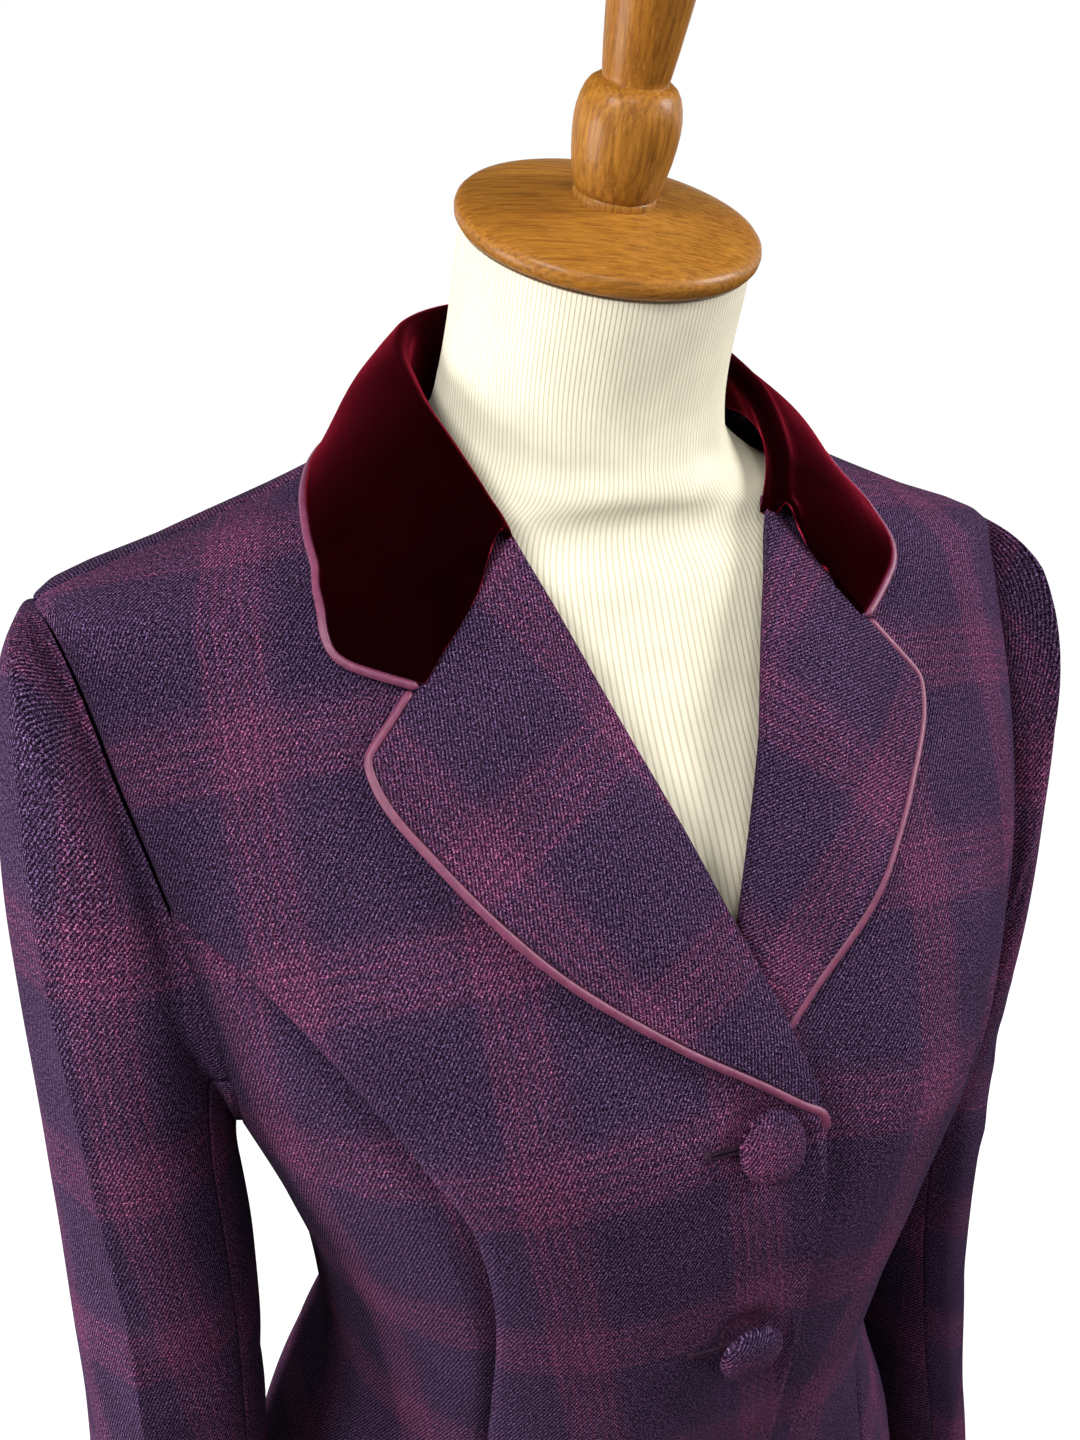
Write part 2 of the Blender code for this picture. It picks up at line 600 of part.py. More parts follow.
def collar_section(along, side):
    """Middle line of the collar's wall at one station: up the stand, over the fold, down the fall."""
    row = {name: lookup(COLLAR, name, along, "along") for name in COLLAR[0] if name != "along"}
    fold = Vector((row["fold_x"], row["fold_y"], NECK_HEIGHT + row["fold_rise"]))
    end = "left" if side > 0 else "right"
    sewn = 1 - ease(along / GORGE_SEWN)
    edge_angle = mix(row[end + "_angle"], gorge_end(side)[0], sewn)
    edge_drop = mix(row[end + "_drop"], gorge_end(side)[1], sewn)
    edge = on_body(edge_angle, edge_drop, COLLAR_LIFT)
    base_angle = row["base_angle"]
    if row["base_drop"] > NECK_TOP_DROP:
        base_angle = angle_at(front_edge(row["base_drop"]), row["base_drop"])
    up = Vector((0.0, 0.0, 1.0))
    base = body_at(base_angle, row["base_drop"])
    outward = Vector((base.x, base.y - lookup(BODY, "centre", 0.0), 0.0)).normalized()
    base += up * STAND_FOOT - outward * STAND_INSET
    out = edge - fold
    out.z = 0.0
    out.normalize()
    stand_top = fold - (out + up) * FOLD_HALF
    fall_top = fold + (out * 1.2 - up * 0.8) * FOLD_HALF
    fall = edge - fall_top
    square = Vector((-out.x * fall.z, -out.y * fall.z, fall.xy.length)).normalized()
    bulge = COLLAR_BULGE * mix(GORGE_BULGE, 1.0, along)
    points = [base, base.lerp(stand_top, 0.5), stand_top, fold]
    for f in spread(0, 1, FALL_STEPS):
        points.append(fall_top + fall * f + square * bulge * math.sin(math.pi * f))
    return points


def collar_sheet():
    stations = [share ** COLLAR_CROWDING for share in spread(0, 1, COLLAR_STEPS_EACH_SIDE)]
    right = [[mirrored(point, -1) for point in collar_section(along, -1)] for along in stations]
    left = [collar_section(along, 1) for along in reversed(stations)]
    return right + left[1:]


def build_collar():
    middle = collar_sheet()
    normals = sheet_normals(middle)
    sheets = []
    for shift in (COLLAR_WALL / 2, -COLLAR_WALL / 2):
        sheets.append([[point + normal * shift for point, normal in zip(*rows)]
                       for rows in zip(middle, normals)])
    cloth_wall("collar", sheets[0], sheets[1], "velvet")


def collar_piping_path():
    """Along the collar's front edges and round its fall, just outside it."""
    sheet = collar_sheet()
    edge = [section[-1] for section in sheet]
    inside = [section[-2] for section in sheet]
    return pushed_out(edge, inside, PIPING_RADIUS + 2 * SEAM)[1:-1]


# Sleeves

def sleeve_point(turn, along, side):
    row = {name: lookup(SLEEVE, name, along, "along") for name in SLEEVE[0] if name != "along"}
    outer = Vector((row["outer_x"], row["centre"], NECK_HEIGHT - row["outer_drop"]))
    inner = Vector((row["inner_x"], row["centre"], NECK_HEIGHT - row["inner_drop"]))
    end = "left" if side > 0 else "right"
    outer.x += lookup(HANG, end + "_outer", along, "along")
    inner.x += lookup(HANG, end + "_inner", along, "along")
    outer.y = inner.y = row["centre"] + lookup(HANG, end + "_back", along, "along")
    across, deep = math.cos(math.radians(turn)), math.sin(math.radians(turn))
    power = 2 / row["squareness"]
    point = (outer + inner) / 2 + (outer - inner) / 2 * bowed(across, power)
    point.y -= row["deep"] * bowed(deep, power)
    return mirrored(point, side)


def sleeve_rings(side):
    """A ring on the armhole, the roped head, then the sections down to the cuff."""
    rings = []
    for (swing, rise), lift in ((HEAD_INSET, 0.0), (ROPED_INSET, ROPED_HEAD)):
        rings.append([mirrored(on_body(armhole_angle(turn, swing), armhole_drop(turn, rise), lift), side)
                      for turn in SLEEVE_TURNS])
    for k in range(2, SLEEVE_ROWS + 1):
        along = (k / SLEEVE_ROWS) ** SLEEVE_CROWDING
        rings.append([sleeve_point(turn, along, side) for turn in SLEEVE_TURNS])
    return rings


def build_sleeve(side, end):
    """Upper and under sleeve, cut from one tube along a front and a back seam."""
    rings = sleeve_rings(side)
    tube = [ring[:-1] for ring in rings]
    normals = sheet_normals(tube, closed=True)
    count = len(tube[0])
    front_seam = TURNS_EACH_END + 2
    back_seam = count - TURNS_EACH_END - 1
    pieces = {"sleeve_upper_" + end: range(back_seam - count, front_seam + 1),
              "sleeve_under_" + end: range(front_seam, back_seam + 1)}
    for name, columns in pieces.items():
        sheets = []
        for depth in (0.0, CLOTH):
            sheet = []
            for ring, ring_normals in zip(tube, normals):
                face = [ring[j % count] for j in columns]
                row = [ring[j % count] - ring_normals[j % count] * side * depth for j in columns]
                row[0] = row[0] + (face[1] - face[0]).normalized() * SLEEVE_SEAM / 2
                row[-1] = row[-1] + (face[-2] - face[-1]).normalized() * SLEEVE_SEAM / 2
                sheet.append(row)
            sheets.append(sheet)
        cloth_wall(name, sheets[0], sheets[1], "plaid")


# Buttons

def build_button(name, drop):
    profile = [(0.0, 1.0), (0.35, 0.96), (0.65, 0.82), (0.88, 0.55), (1.0, 0.28), (0.97, 0.10), (0.86, 0.0)]
    sized = [(radius * BUTTON_RADIUS, height * BUTTON_HEIGHT) for radius, height in profile]
    button = turned(name, sized, "plaid", BUTTON_STEPS)
    angle = angle_at(BUTTON_REACH, drop)
    button.location = on_body(angle, drop, BUTTON_CLEARANCE)
    button.rotation_mode = "QUATERNION"
    button.rotation_quaternion = body_normal(angle, drop).to_track_quat("Z", "X")


# The dress form and its stand

def form_ring(drop):
    row = {name: lookup(FORM, name, drop) for name in FORM[0] if name != "drop"}
    tilt = Matrix.Rotation(math.radians(row["tilt"]), 3, "X")
    power = 2 / row["squareness"]
    ring = []
    for k in range(FORM_STEPS[0]):
        angle = 2 * math.pi * k / FORM_STEPS[0]
        across, along = math.sin(angle), math.cos(angle)
        depth = row["front"] if along > 0 else row["back"]
        flat = Vector((row["half_width"] * bowed(across, power), -depth * bowed(along, power), 0.0))
        ring.append(tilt @ flat + Vector((0.0, row["centre"], NECK_HEIGHT - drop)))
    return ring


def build_form():
    """Padded torso and neck, lofted through its rings, with flat ends."""
    bm = bmesh.new()
    top, bottom = FORM[0]["drop"], FORM[-1]["drop"]
    rings = []
    for k in range(FORM_STEPS[1] + 1):
        share = k / FORM_STEPS[1]
        rings.append([bm.verts.new(point) for point in form_ring(mix(top, bottom, share ** FORM_CROWDING))])
    for upper, lower in zip(rings, rings[1:]):
        for j in range(FORM_STEPS[0]):
            n = (j + 1) % FORM_STEPS[0]
            bm.faces.new((upper[j], upper[n], lower[n], lower[j]))
    bm.faces.new(rings[0])
    bm.faces.new(rings[-1])
    add_object("form_torso", mesh_from(bm, "form_torso"), "jersey")


def lean(obj, height):
    """Stands a turned piece on the neck's leaning axis, at a height above the cap's middle."""
    turn = Matrix.Rotation(math.radians(NECK_TILT), 3, "X")
    obj.location = Vector(CAP_CENTRE) + Vector((0.0, 0.0, NECK_HEIGHT)) + turn @ Vector((0.0, 0.0, height))
    obj.rotation_euler = (math.radians(NECK_TILT), 0.0, 0.0)


def build_stand():
    lean(turned("neck_cap", CAP, "wood"), 0.0)
    lean(turned("finial", FINIAL, "wood"), CAP_CROWN + SEAM)
    pole_foot = BASE_HEIGHT + SEAM
    pole_length = NECK_HEIGHT - FORM_BOTTOM_DROP - SEAM - pole_foot
    pole = turned("stand_pole", [(radius, height * pole_length) for radius, height in POLE], "wood")
    pole.location.z = pole_foot
    turned("stand_base", BASE, "wood")


for old in list(bpy.data.objects):
    bpy.data.objects.remove(old, do_unlink=True)
jacket = bpy.data.collections.new("riding_jacket_on_dress_form")
bpy.context.scene.collection.children.link(jacket)

for side, end in ((-1, "right"), (1, "left")):
    build_front("front_" + end, side)
    build_side("side_" + end, side)
    build_back("back_" + end, side)
    build_lapel("lapel_" + end, side)
    cord("lapel_piping_" + end, lapel_piping_path(side), PIPING_RADIUS, "piping")
    build_sleeve(side, end)
build_collar()
cord("collar_piping", collar_piping_path(), PIPING_RADIUS, "piping")
for number, drop in enumerate(BUTTON_DROPS, 1):
    build_button("button_%d" % number, drop)
build_form()
build_stand()
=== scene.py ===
# Riding jacket in plaid wool with a velvet collar, on a padded form
import bisect
import functools
import math

import bmesh
import bpy
from mathutils import Matrix, Vector, noise


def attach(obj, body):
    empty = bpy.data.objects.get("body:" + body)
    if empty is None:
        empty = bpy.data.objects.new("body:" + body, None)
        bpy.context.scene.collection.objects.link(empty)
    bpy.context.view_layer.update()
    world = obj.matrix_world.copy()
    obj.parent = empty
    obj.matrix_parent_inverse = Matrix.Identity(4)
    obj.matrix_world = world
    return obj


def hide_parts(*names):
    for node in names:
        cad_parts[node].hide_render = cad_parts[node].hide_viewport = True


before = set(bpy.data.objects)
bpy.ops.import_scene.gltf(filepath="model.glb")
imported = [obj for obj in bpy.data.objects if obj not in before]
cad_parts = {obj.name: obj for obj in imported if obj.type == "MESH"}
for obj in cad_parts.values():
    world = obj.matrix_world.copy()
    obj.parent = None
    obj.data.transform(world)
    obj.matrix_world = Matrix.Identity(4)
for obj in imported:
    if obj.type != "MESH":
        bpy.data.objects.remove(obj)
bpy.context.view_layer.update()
print("frame loaded,", len(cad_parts), "nodes")

sides = {"right": -1, "left": 1}    # the wearer's own sides, right is -X


# Camera at the photo's angle

photoView = {"place": (-0.2057, -0.4352, 0.8706), "tilt": 68.9, "turn": -23.1, "lens": 32.675}


def addCamera():
    camera = bpy.data.objects.new("photoCamera", bpy.data.cameras.new("photoCamera"))
    camera.data.lens = photoView["lens"]
    camera.data.clip_start = 0.01
    camera.location = photoView["place"]
    camera.rotation_euler = (math.radians(photoView["tilt"]), 0, math.radians(photoView["turn"]))
    bpy.context.collection.objects.link(camera)
    bpy.context.scene.camera = camera


addCamera()
print("camera placed")


# Small helpers

def mix(a, b, f):
    return a + (b - a) * f


def ease(f):
    f = min(max(f, 0.0), 1.0)
    return f * f * (3 - 2 * f)


def sine(degrees):
    return math.sin(math.radians(degrees))


def cosine(degrees):
    return math.cos(math.radians(degrees))


def bowed(value, power):
    return math.copysign(abs(value) ** power, value)


def steps(start, stop, count):
    return [mix(start, stop, k / count) for k in range(count + 1)]


def mirrored(point, side):
    return Vector((point.x * side, point.y, point.z))


def curveThrough(rows):
    # smooth curve through a table keyed by its first column, which doesn't overshoot the rows
    keys = [row[0] for row in rows]
    columns = list(zip(*rows))[1:]
    slopes = []
    for values in columns:
        runs = [(b - a) / (n - m) for a, b, m, n in zip(values, values[1:], keys, keys[1:])]
        inner = [2 * p * q / (p + q) if p * q > 0 else 0.0 for p, q in zip(runs, runs[1:])]
        slopes.append([runs[0]] + inner + [runs[-1]])

    @functools.lru_cache(maxsize=None)
    def read(at):
        at = min(max(at, keys[0]), keys[-1])
        k = min(bisect.bisect_right(keys, at) - 1, len(keys) - 2)
        step = keys[k + 1] - keys[k]
        f = (at - keys[k]) / step
        found = []
        for values, slope in zip(columns, slopes):
            value = values[k] * (1 + 2 * f) * (1 - f) ** 2 + values[k + 1] * f * f * (3 - 2 * f)
            found.append(value + step * f * (1 - f) * (slope[k] * (1 - f) - slope[k + 1] * f))
        return found

    return read


def splineAt(points, f):
    # point at a share of a smooth line through all the points
    last = len(points) - 1
    k = min(int(f * last), last - 1)
    t = f * last - k
    a, b = points[max(k - 1, 0)], points[k]
    c, d = points[k + 1], points[min(k + 2, last)]
    square, cube = 2 * a - 5 * b + 4 * c - d, 3 * b - a - 3 * c + d
    return 0.5 * (2 * b + (c - a) * t + square * t * t + cube * t ** 3)


def lengthsAlong(points):
    lengths = [0.0]
    for a, b in zip(points, points[1:]):
        lengths.append(lengths[-1] + (b - a).length)
    return lengths


# Node trees are wired with these few words

class Wiring:
    def __init__(self, name):
        self.material = bpy.data.materials.new(name)
        self.material.use_nodes = True
        self.nodes = self.material.node_tree.nodes
        self.links = self.material.node_tree.links
        self.shader = self.nodes["Principled BSDF"]

    def add(self, kind, inputs=(), **settings):
        node = self.nodes.new("ShaderNode" + kind)
        for name, value in settings.items():
            setattr(node, name, value)
        for key, value in dict(inputs).items():
            self.feed(node.inputs[key], value)
        return node

    def feed(self, socket, value):
        if isinstance(value, bpy.types.NodeSocket):
            self.links.new(value, socket)
        else:
            socket.default_value = value

    def sum(self, operation, a, b=0.0, c=0.0):
        return self.add("Math", {0: a, 1: b, 2: c}, operation=operation).outputs[0]

    def blend(self, share, a, b, kind="MIX"):
        node = self.add("Mix", data_type="RGBA", blend_type=kind)
        for key, value in ((0, share), (6, a), (7, b)):
            self.feed(node.inputs[key], value)
        return node.outputs[2]

    def ramp(self, value, stops, smooth="LINEAR"):
        node = self.add("ValToRGB", {0: value})
        node.color_ramp.interpolation = smooth
        marks = node.color_ramp.elements
        while len(marks) < len(stops):
            marks.new(0.5)
        for mark, (place, shade) in zip(marks, stops):
            mark.position = place
            mark.color = (shade, shade, shade, 1.0)
        return node.outputs[0]

    def grain(self, vector, scale, detail=2.0, rough=0.5):
        node = self.add("TexNoise", {"Vector": vector, "Scale": scale, "Detail": detail, "Roughness": rough})
        return node.outputs[0]

    def stretched(self, vector, scale, turn=(0, 0, 0)):
        node = self.add("Mapping", {"Vector": vector, "Scale": scale, "Rotation": turn})
        return node.outputs[0]

    def spot(self):
        return self.add("TexCoord").outputs["Object"]

    def cloth(self):
        # the cloth's own metres: the whole spot, then across and along
        whole = self.add("UVMap", uv_map="cloth").outputs[0]
        apart = self.add("SeparateXYZ", {0: whole})
        return whole, apart.outputs[0], apart.outputs[1]

    def weigh(self, a, share, b, other):
        return self.sum("ADD", self.sum("MULTIPLY", a, share), self.sum("MULTIPLY", b, other))

    def tint(self, color, shade):
        return self.blend(1.0, color, shade, "MULTIPLY")

    def finish(self, color, bump=None, strength=0.3, height=0.0004, **constants):
        self.feed(self.shader.inputs["Base Color"], color)
        for name, value in constants.items():
            self.shader.inputs[name.replace("_", " ")].default_value = value
        if bump is not None:
            node = self.add("Bump", {"Height": bump, "Strength": strength, "Distance": height})
            self.links.new(node.outputs[0], self.shader.inputs["Normal"])
        return self.material


# Plaid wool twill: soft wine bands on a navy and plum ground, drawn in the cloth's own metres

plaid = {
    "across": 0.0657, "along": 0.0745,      # size of the check
    "twill": 0.00118, "fleck": (0.00030, 0.00050),    # one diagonal rib, and the flecks across and along it
    "yarn": 0.00062, "slant": (0.82, 0.58),    # stripes that the bands break into, and the ribs' lean
    "ground": (0.0050, 0.0026, 0.0090, 1), "groundFleck": (0.1600, 0.0960, 0.2100, 1),
    "wine": (0.0260, 0.0045, 0.0165, 1), "wineFleck": (0.4800, 0.1480, 0.3120, 1),
    "bands": [    # share of the check, how much wine: a soft band with five brighter lines in it
        (0.000, 0.05), (0.295, 0.05), (0.325, 0.30), (0.345, 0.85), (0.362, 0.42), (0.385, 0.38),
        (0.405, 1.00), (0.425, 0.44), (0.448, 0.42), (0.468, 0.90), (0.488, 0.42), (0.512, 0.42),
        (0.532, 1.00), (0.552, 0.42), (0.575, 0.38), (0.597, 0.85), (0.615, 0.36), (0.660, 0.18),
        (0.710, 0.05), (1.000, 0.05)],
}


def plaidCloth():
    w = Wiring("plaidCloth")
    cloth, u, v = w.cloth()
    bands = []
    fine = 1 / plaid["yarn"]
    for place, size, stretch in ((u, plaid["across"], (fine, 30, 1)), (v, plaid["along"], (30, fine, 1))):
        share = w.sum("FRACT", w.sum("ADD", w.sum("DIVIDE", place, size), 50.5))
        share = w.sum("MULTIPLY_ADD", w.grain(cloth, 180.0), 0.016, w.sum("SUBTRACT", share, 0.008))
        streaks = w.sum("MULTIPLY_ADD", w.grain(w.stretched(cloth, stretch), 1.0, 1.0), 3.0, -0.45)
        bands.append(w.sum("MULTIPLY", w.ramp(share, plaid["bands"]), streaks))
    # flecks strung along the diagonal ribs, each of the warp's colour or of the weft's
    wobble = w.sum("MULTIPLY", w.grain(cloth, 420.0), 0.0005)
    near, far = plaid["slant"]
    rib = w.sum("ADD", w.weigh(u, near, v, -far), wobble)
    run = w.weigh(u, far, v, near)
    ridge = w.sum("MULTIPLY", w.sum("PINGPONG", w.sum("DIVIDE", rib, plaid["twill"]), 0.5), 2.0)
    wide, long = plaid["fleck"]
    cell = w.add("CombineXYZ", {0: w.sum("DIVIDE", rib, wide), 1: w.sum("DIVIDE", run, long)})
    speck = w.weigh(w.grain(cell.outputs[0], 1.0, 1.0, 0.6), 0.84, ridge, 0.16)
    fleck = w.ramp(speck, [(0.49, 0.0), (0.57, 0.35), (0.66, 1.0)])
    pick = w.ramp(w.grain(cloth, 1250.0), [(0.46, 0.0), (0.54, 1.0)])
    fleckBand = w.blend(pick, bands[0], bands[1])
    gapBand = w.blend(0.5, bands[0], bands[1])
    color = w.blend(fleck, w.blend(gapBand, plaid["ground"], plaid["wine"]),
                    w.blend(fleckBand, plaid["groundFleck"], plaid["wineFleck"]))
    worn = w.ramp(w.grain(cloth, 24.0, 3.0), [(0.25, 0.84), (0.75, 1.16)])
    hairs = w.ramp(w.grain(cloth, 950.0, 1.0), [(0.34, 0.42), (0.50, 0.92), (0.68, 1.75)])
    color = w.tint(w.tint(color, worn), hairs)
    lift = w.weigh(ridge, 0.3, speck, 1.2)
    return w.finish(color, lift, 0.20, 0.0002, Roughness=0.95, Specular_IOR_Level=0.01, Sheen_Weight=0.01,
                    Sheen_Roughness=0.45, Sheen_Tint=(0.80, 0.50, 0.70, 1))


# Silk velvet: near black red where the pile faces the eye, brighter where it turns away

def velvetPile():
    w = Wiring("velvetPile")
    spot = w.spot()
    nap = w.ramp(w.grain(spot, 34.0, 3.0), [(0.30, 0.0), (0.72, 1.0)])
    fine = w.ramp(w.grain(spot, 2600.0, 2.0), [(0.30, 0.45), (0.75, 1.45)])
    color = w.blend(nap, (0.0030, 0.0001, 0.0003, 1), (0.0062, 0.0003, 0.0007, 1))
    color = w.tint(color, fine)
    lift = w.weigh(w.grain(spot, 2200.0), 1.0, w.grain(spot, 160.0), 0.8)
    return w.finish(color, lift, 0.30, 0.0004, Roughness=0.95, Specular_IOR_Level=0.0, Sheen_Weight=1.0,
                    Sheen_Roughness=0.30, Sheen_Tint=(0.85, 0.042, 0.100, 1))


# Satin bias strip round a cord: threads run slantwise over it

def satinPiping():
    w = Wiring("satinPiping")
    cloth, u, v = w.cloth()
    slant = w.weigh(u, 1.0, v, 0.7)
    thread = w.sum("PINGPONG", w.sum("DIVIDE", slant, 0.00042), 0.5)
    uneven = w.ramp(w.grain(cloth, 260.0, 3.0), [(0.30, 0.0), (0.70, 1.0)])
    color = w.blend(uneven, (0.125, 0.024, 0.060, 1), (0.185, 0.042, 0.092, 1))
    lift = w.weigh(thread, 0.8, w.grain(cloth, 420.0), 0.9)
    return w.finish(color, lift, 0.25, 0.0003, Roughness=0.42, Specular_IOR_Level=0.40, Sheen_Weight=0.10,
                    Sheen_Roughness=0.35, Sheen_Tint=(0.95, 0.60, 0.72, 1))


# Cream jersey with fine ribs up the form

def ribbedJersey():
    w = Wiring("ribbedJersey")
    cloth, u, v = w.cloth()
    wale = w.sum("PINGPONG", w.sum("DIVIDE", u, 0.00165), 0.5)
    rib = w.ramp(w.sum("MULTIPLY", wale, 2.0), [(0.05, 0.0), (0.55, 1.0)], "EASE")
    soft = w.ramp(w.grain(cloth, 60.0, 3.0), [(0.25, 0.90), (0.75, 1.06)])
    # the cream is painted darker in the valleys between the ribs, as painted shade; the same ribs also shape
    # the bump
    color = w.blend(rib, (0.560, 0.500, 0.360, 1), (0.760, 0.705, 0.555, 1))
    color = w.tint(color, soft)
    knit = w.grain(w.stretched(cloth, (1200, 2400, 1)), 1.0)
    lift = w.weigh(rib, 1.0, knit, 0.35)
    return w.finish(color, lift, 0.30, 0.0004, Roughness=0.92, Specular_IOR_Level=0.2, Sheen_Weight=0.15,
                    Sheen_Roughness=0.5, Sheen_Tint=(1.0, 0.96, 0.86, 1))


# Honey brown beech under a satin varnish, with short flecks along its grain

def varnishedWood(name, turn, along):
    w = Wiring(name)
    spot = w.stretched(w.spot(), (1, 1, 1), turn)
    streak = w.grain(w.stretched(spot, along), 1.0, 4.0, 0.6)
    broad = w.ramp(w.grain(spot, 22.0, 3.0), [(0.30, 0.0), (0.72, 1.0)])
    tone = w.ramp(streak, [(0.30, 0.0), (0.52, 0.55), (0.75, 1.0)])
    color = w.blend(tone, (0.180, 0.067, 0.0080, 1), (0.420, 0.186, 0.0260, 1))
    color = w.blend(broad, color, w.tint(color, (0.86, 0.74, 0.60, 1)))
    flecks = w.grain(w.stretched(spot, tuple(3.2 * s for s in along)), 1.0, 1.0)
    color = w.blend(w.ramp(flecks, [(0.66, 0.0), (0.74, 0.55)]), color, (0.48, 0.24, 0.075, 1))
    pores = w.ramp(flecks, [(0.24, 1.0), (0.32, 0.0)])
    color = w.blend(w.sum("MULTIPLY", pores, 0.6), color, (0.060, 0.020, 0.006, 1))
    rough = w.ramp(w.grain(spot, 70.0, 3.0), [(0.30, 0.38), (0.75, 0.55)])
    w.feed(w.shader.inputs["Roughness"], rough)
    return w.finish(color, streak, 0.12, 0.0005, Coat_Weight=0.12, Coat_Roughness=0.16,
                    Specular_IOR_Level=0.16)


def threadStuff():
    w = Wiring("buttonholeThread")
    spot = w.spot()
    ply = w.ramp(w.grain(spot, 3000.0), [(0.3, 0.0), (0.7, 1.0)])
    color = w.blend(ply, (0.012, 0.005, 0.012, 1), (0.070, 0.034, 0.062, 1))
    return w.finish(color, ply, 0.3, 0.0002, Roughness=0.8, Specular_IOR_Level=0.02)


# near-black sheet along each buttonhole: painted shade standing in for the dark opening of the slit
def slitShade():
    w = Wiring("buttonholeSlit")
    spot = w.spot()
    color = w.blend(w.grain(spot, 1800.0), (0.003, 0.002, 0.004, 1), (0.010, 0.006, 0.010, 1))
    return w.finish(color, Roughness=0.95, Specular_IOR_Level=0.0)


finishes = {
    "plaid": plaidCloth(), "velvet": velvetPile(), "piping": satinPiping(), "jersey": ribbedJersey(),
    "wood": varnishedWood("varnishedWood", (0, 0, 0), (900, 900, 60)),
    "capWood": varnishedWood("varnishedCapWood", (0, 0, 0.35), (60, 800, 800)),
    "finialWood": varnishedWood("varnishedFinialWood", (math.radians(-22), 0, 0), (700, 700, 55)),
    "thread": threadStuff(), "slit": slitShade(),
}
print("materials wired:", len(finishes))


# Making pieces

def addPiece(name, mesh, finish, replaced=()):
    piece = bpy.data.objects.new(name, mesh)
    bpy.context.collection.objects.link(piece)
    mesh.materials.append(finishes[finish])
    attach(piece, "root")
    if replaced:
        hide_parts(*replaced)
    return piece


def meshFrom(bm, name, sharp=40):
    mesh = bpy.data.meshes.new(name)
    bm.to_mesh(mesh)
    bm.free()
    mesh.shade_smooth()
    mesh.set_sharp_from_angle(angle=math.radians(sharp))
    return mesh


def clothPiece(name, bm, node):
    return addPiece(name, meshFrom(bm, name), "plaid", [node])


def gridVerts(bm, columns, rows):
    # a flat grid's points, each with its column and row
    bmesh.ops.create_grid(bm, x_segments=columns, y_segments=rows, size=0.5)
    return [(vert, round((vert.co.x + 0.5) * columns), round((vert.co.y + 0.5) * rows)) for vert in bm.verts]


def shapedGrid(columns, rows, place, core):
    # points moved to place(column, row); faces turned away from the core line
    bm = bmesh.new()
    for vert, i, j in gridVerts(bm, columns, rows):
        vert.co = place(i, j)
    bm.normal_update()
    outward = sum(f.normal.dot(f.calc_center_median() - core(f.calc_center_median())) for f in bm.faces)
    if outward < 0:
        bmesh.ops.reverse_faces(bm, faces=bm.faces)
    return bm


def closeUp(bm, weld):
    # welds points that meet, fills what is left open and turns the faces outward
    bmesh.ops.remove_doubles(bm, verts=bm.verts, dist=weld)
    rims = [edge for edge in bm.edges if edge.is_boundary]
    bmesh.ops.holes_fill(bm, edges=rims, sides=len(rims))
    bmesh.ops.recalc_face_normals(bm, faces=bm.faces)


def wrappedGrid(columns, rows, place):
    # a closed tube; place(column, row) gives a point and its spot in the cloth
    bm = bmesh.new()
    grid = gridVerts(bm, columns, rows)
    layer = bm.loops.layers.uv.new("cloth")
    spots = {}
    for vert, i, j in grid:
        vert.co, spots[vert] = place(i, j)
    for face in bm.faces:
        for loop in face.loops:
            loop[layer].uv = spots[loop.vert]
    closeUp(bm, 0.00001)
    return bm


def spunProfile(profile, count):
    # radius and height of a turned piece, spun round the upright axis
    bm = bmesh.new()
    verts = [bm.verts.new((r, 0, h)) for r, h in profile]
    for a, b in zip(verts, verts[1:]):
        bm.edges.new((a, b))
    bmesh.ops.spin(bm, geom=bm.verts[:] + bm.edges[:], axis=(0, 0, 1), cent=(0, 0, 0), steps=count,
                   angle=2 * math.pi, use_merge=True)
    closeUp(bm, 0.000005)
    return bm


def layOut(piece, columns, upper, lower, anchor, at, lean=0.0):
    # flattens the piece as it was cut, in metres, with its grain from upper to lower, leaning some degrees,
    # and the anchor at a spot of the check; these three are each a column and a row of its grid
    # returns the cut's width, length and area
    upper, lower, anchor = (row * (columns + 1) + column for column, row in (upper, lower, anchor))
    mesh = piece.data
    bpy.context.view_layer.objects.active = piece
    piece.select_set(True)
    bpy.ops.object.mode_set(mode="EDIT")
    bpy.ops.mesh.select_all(action="SELECT")
    bpy.ops.uv.unwrap(method="ANGLE_BASED", margin=0.0)
    bpy.ops.object.mode_set(mode="OBJECT")
    piece.select_set(False)
    layer = mesh.uv_layers.active
    layer.name = "cloth"
    flat = {}
    for loop, spot in zip(mesh.loops, layer.uv):
        flat[loop.vertex_index] = complex(*spot.vector)
    area = sum(face.area for face in mesh.polygons)
    shadow = 0.0
    for face in mesh.polygons:
        corners = [flat[k] for k in face.vertices]
        shadow += 0.5 * abs(sum((a.conjugate() * b).imag for a, b in zip(corners, corners[1:] + corners[:1])))
    run = flat[lower] - flat[upper]
    turn = complex(0, -1) * abs(run) / run * math.sqrt(area / shadow)
    for key in flat:
        flat[key] *= turn
    width = max(z.real for z in flat.values()) - min(z.real for z in flat.values())
    length = max(z.imag for z in flat.values()) - min(z.imag for z in flat.values())
    slant = complex(cosine(lean), sine(lean))
    for loop, spot in zip(mesh.loops, layer.uv):
        place = (flat[loop.vertex_index] - flat[anchor]) * slant + complex(*at)
        spot.vector = (place.real, place.imag)
    return width, length, area


def thicken(piece, wall, even=True):
    shell = piece.modifiers.new("wall", "SOLIDIFY")
    shell.thickness = wall
    shell.offset = -1
    shell.use_even_offset = even


# The jacket's body, from the same sections as the solids

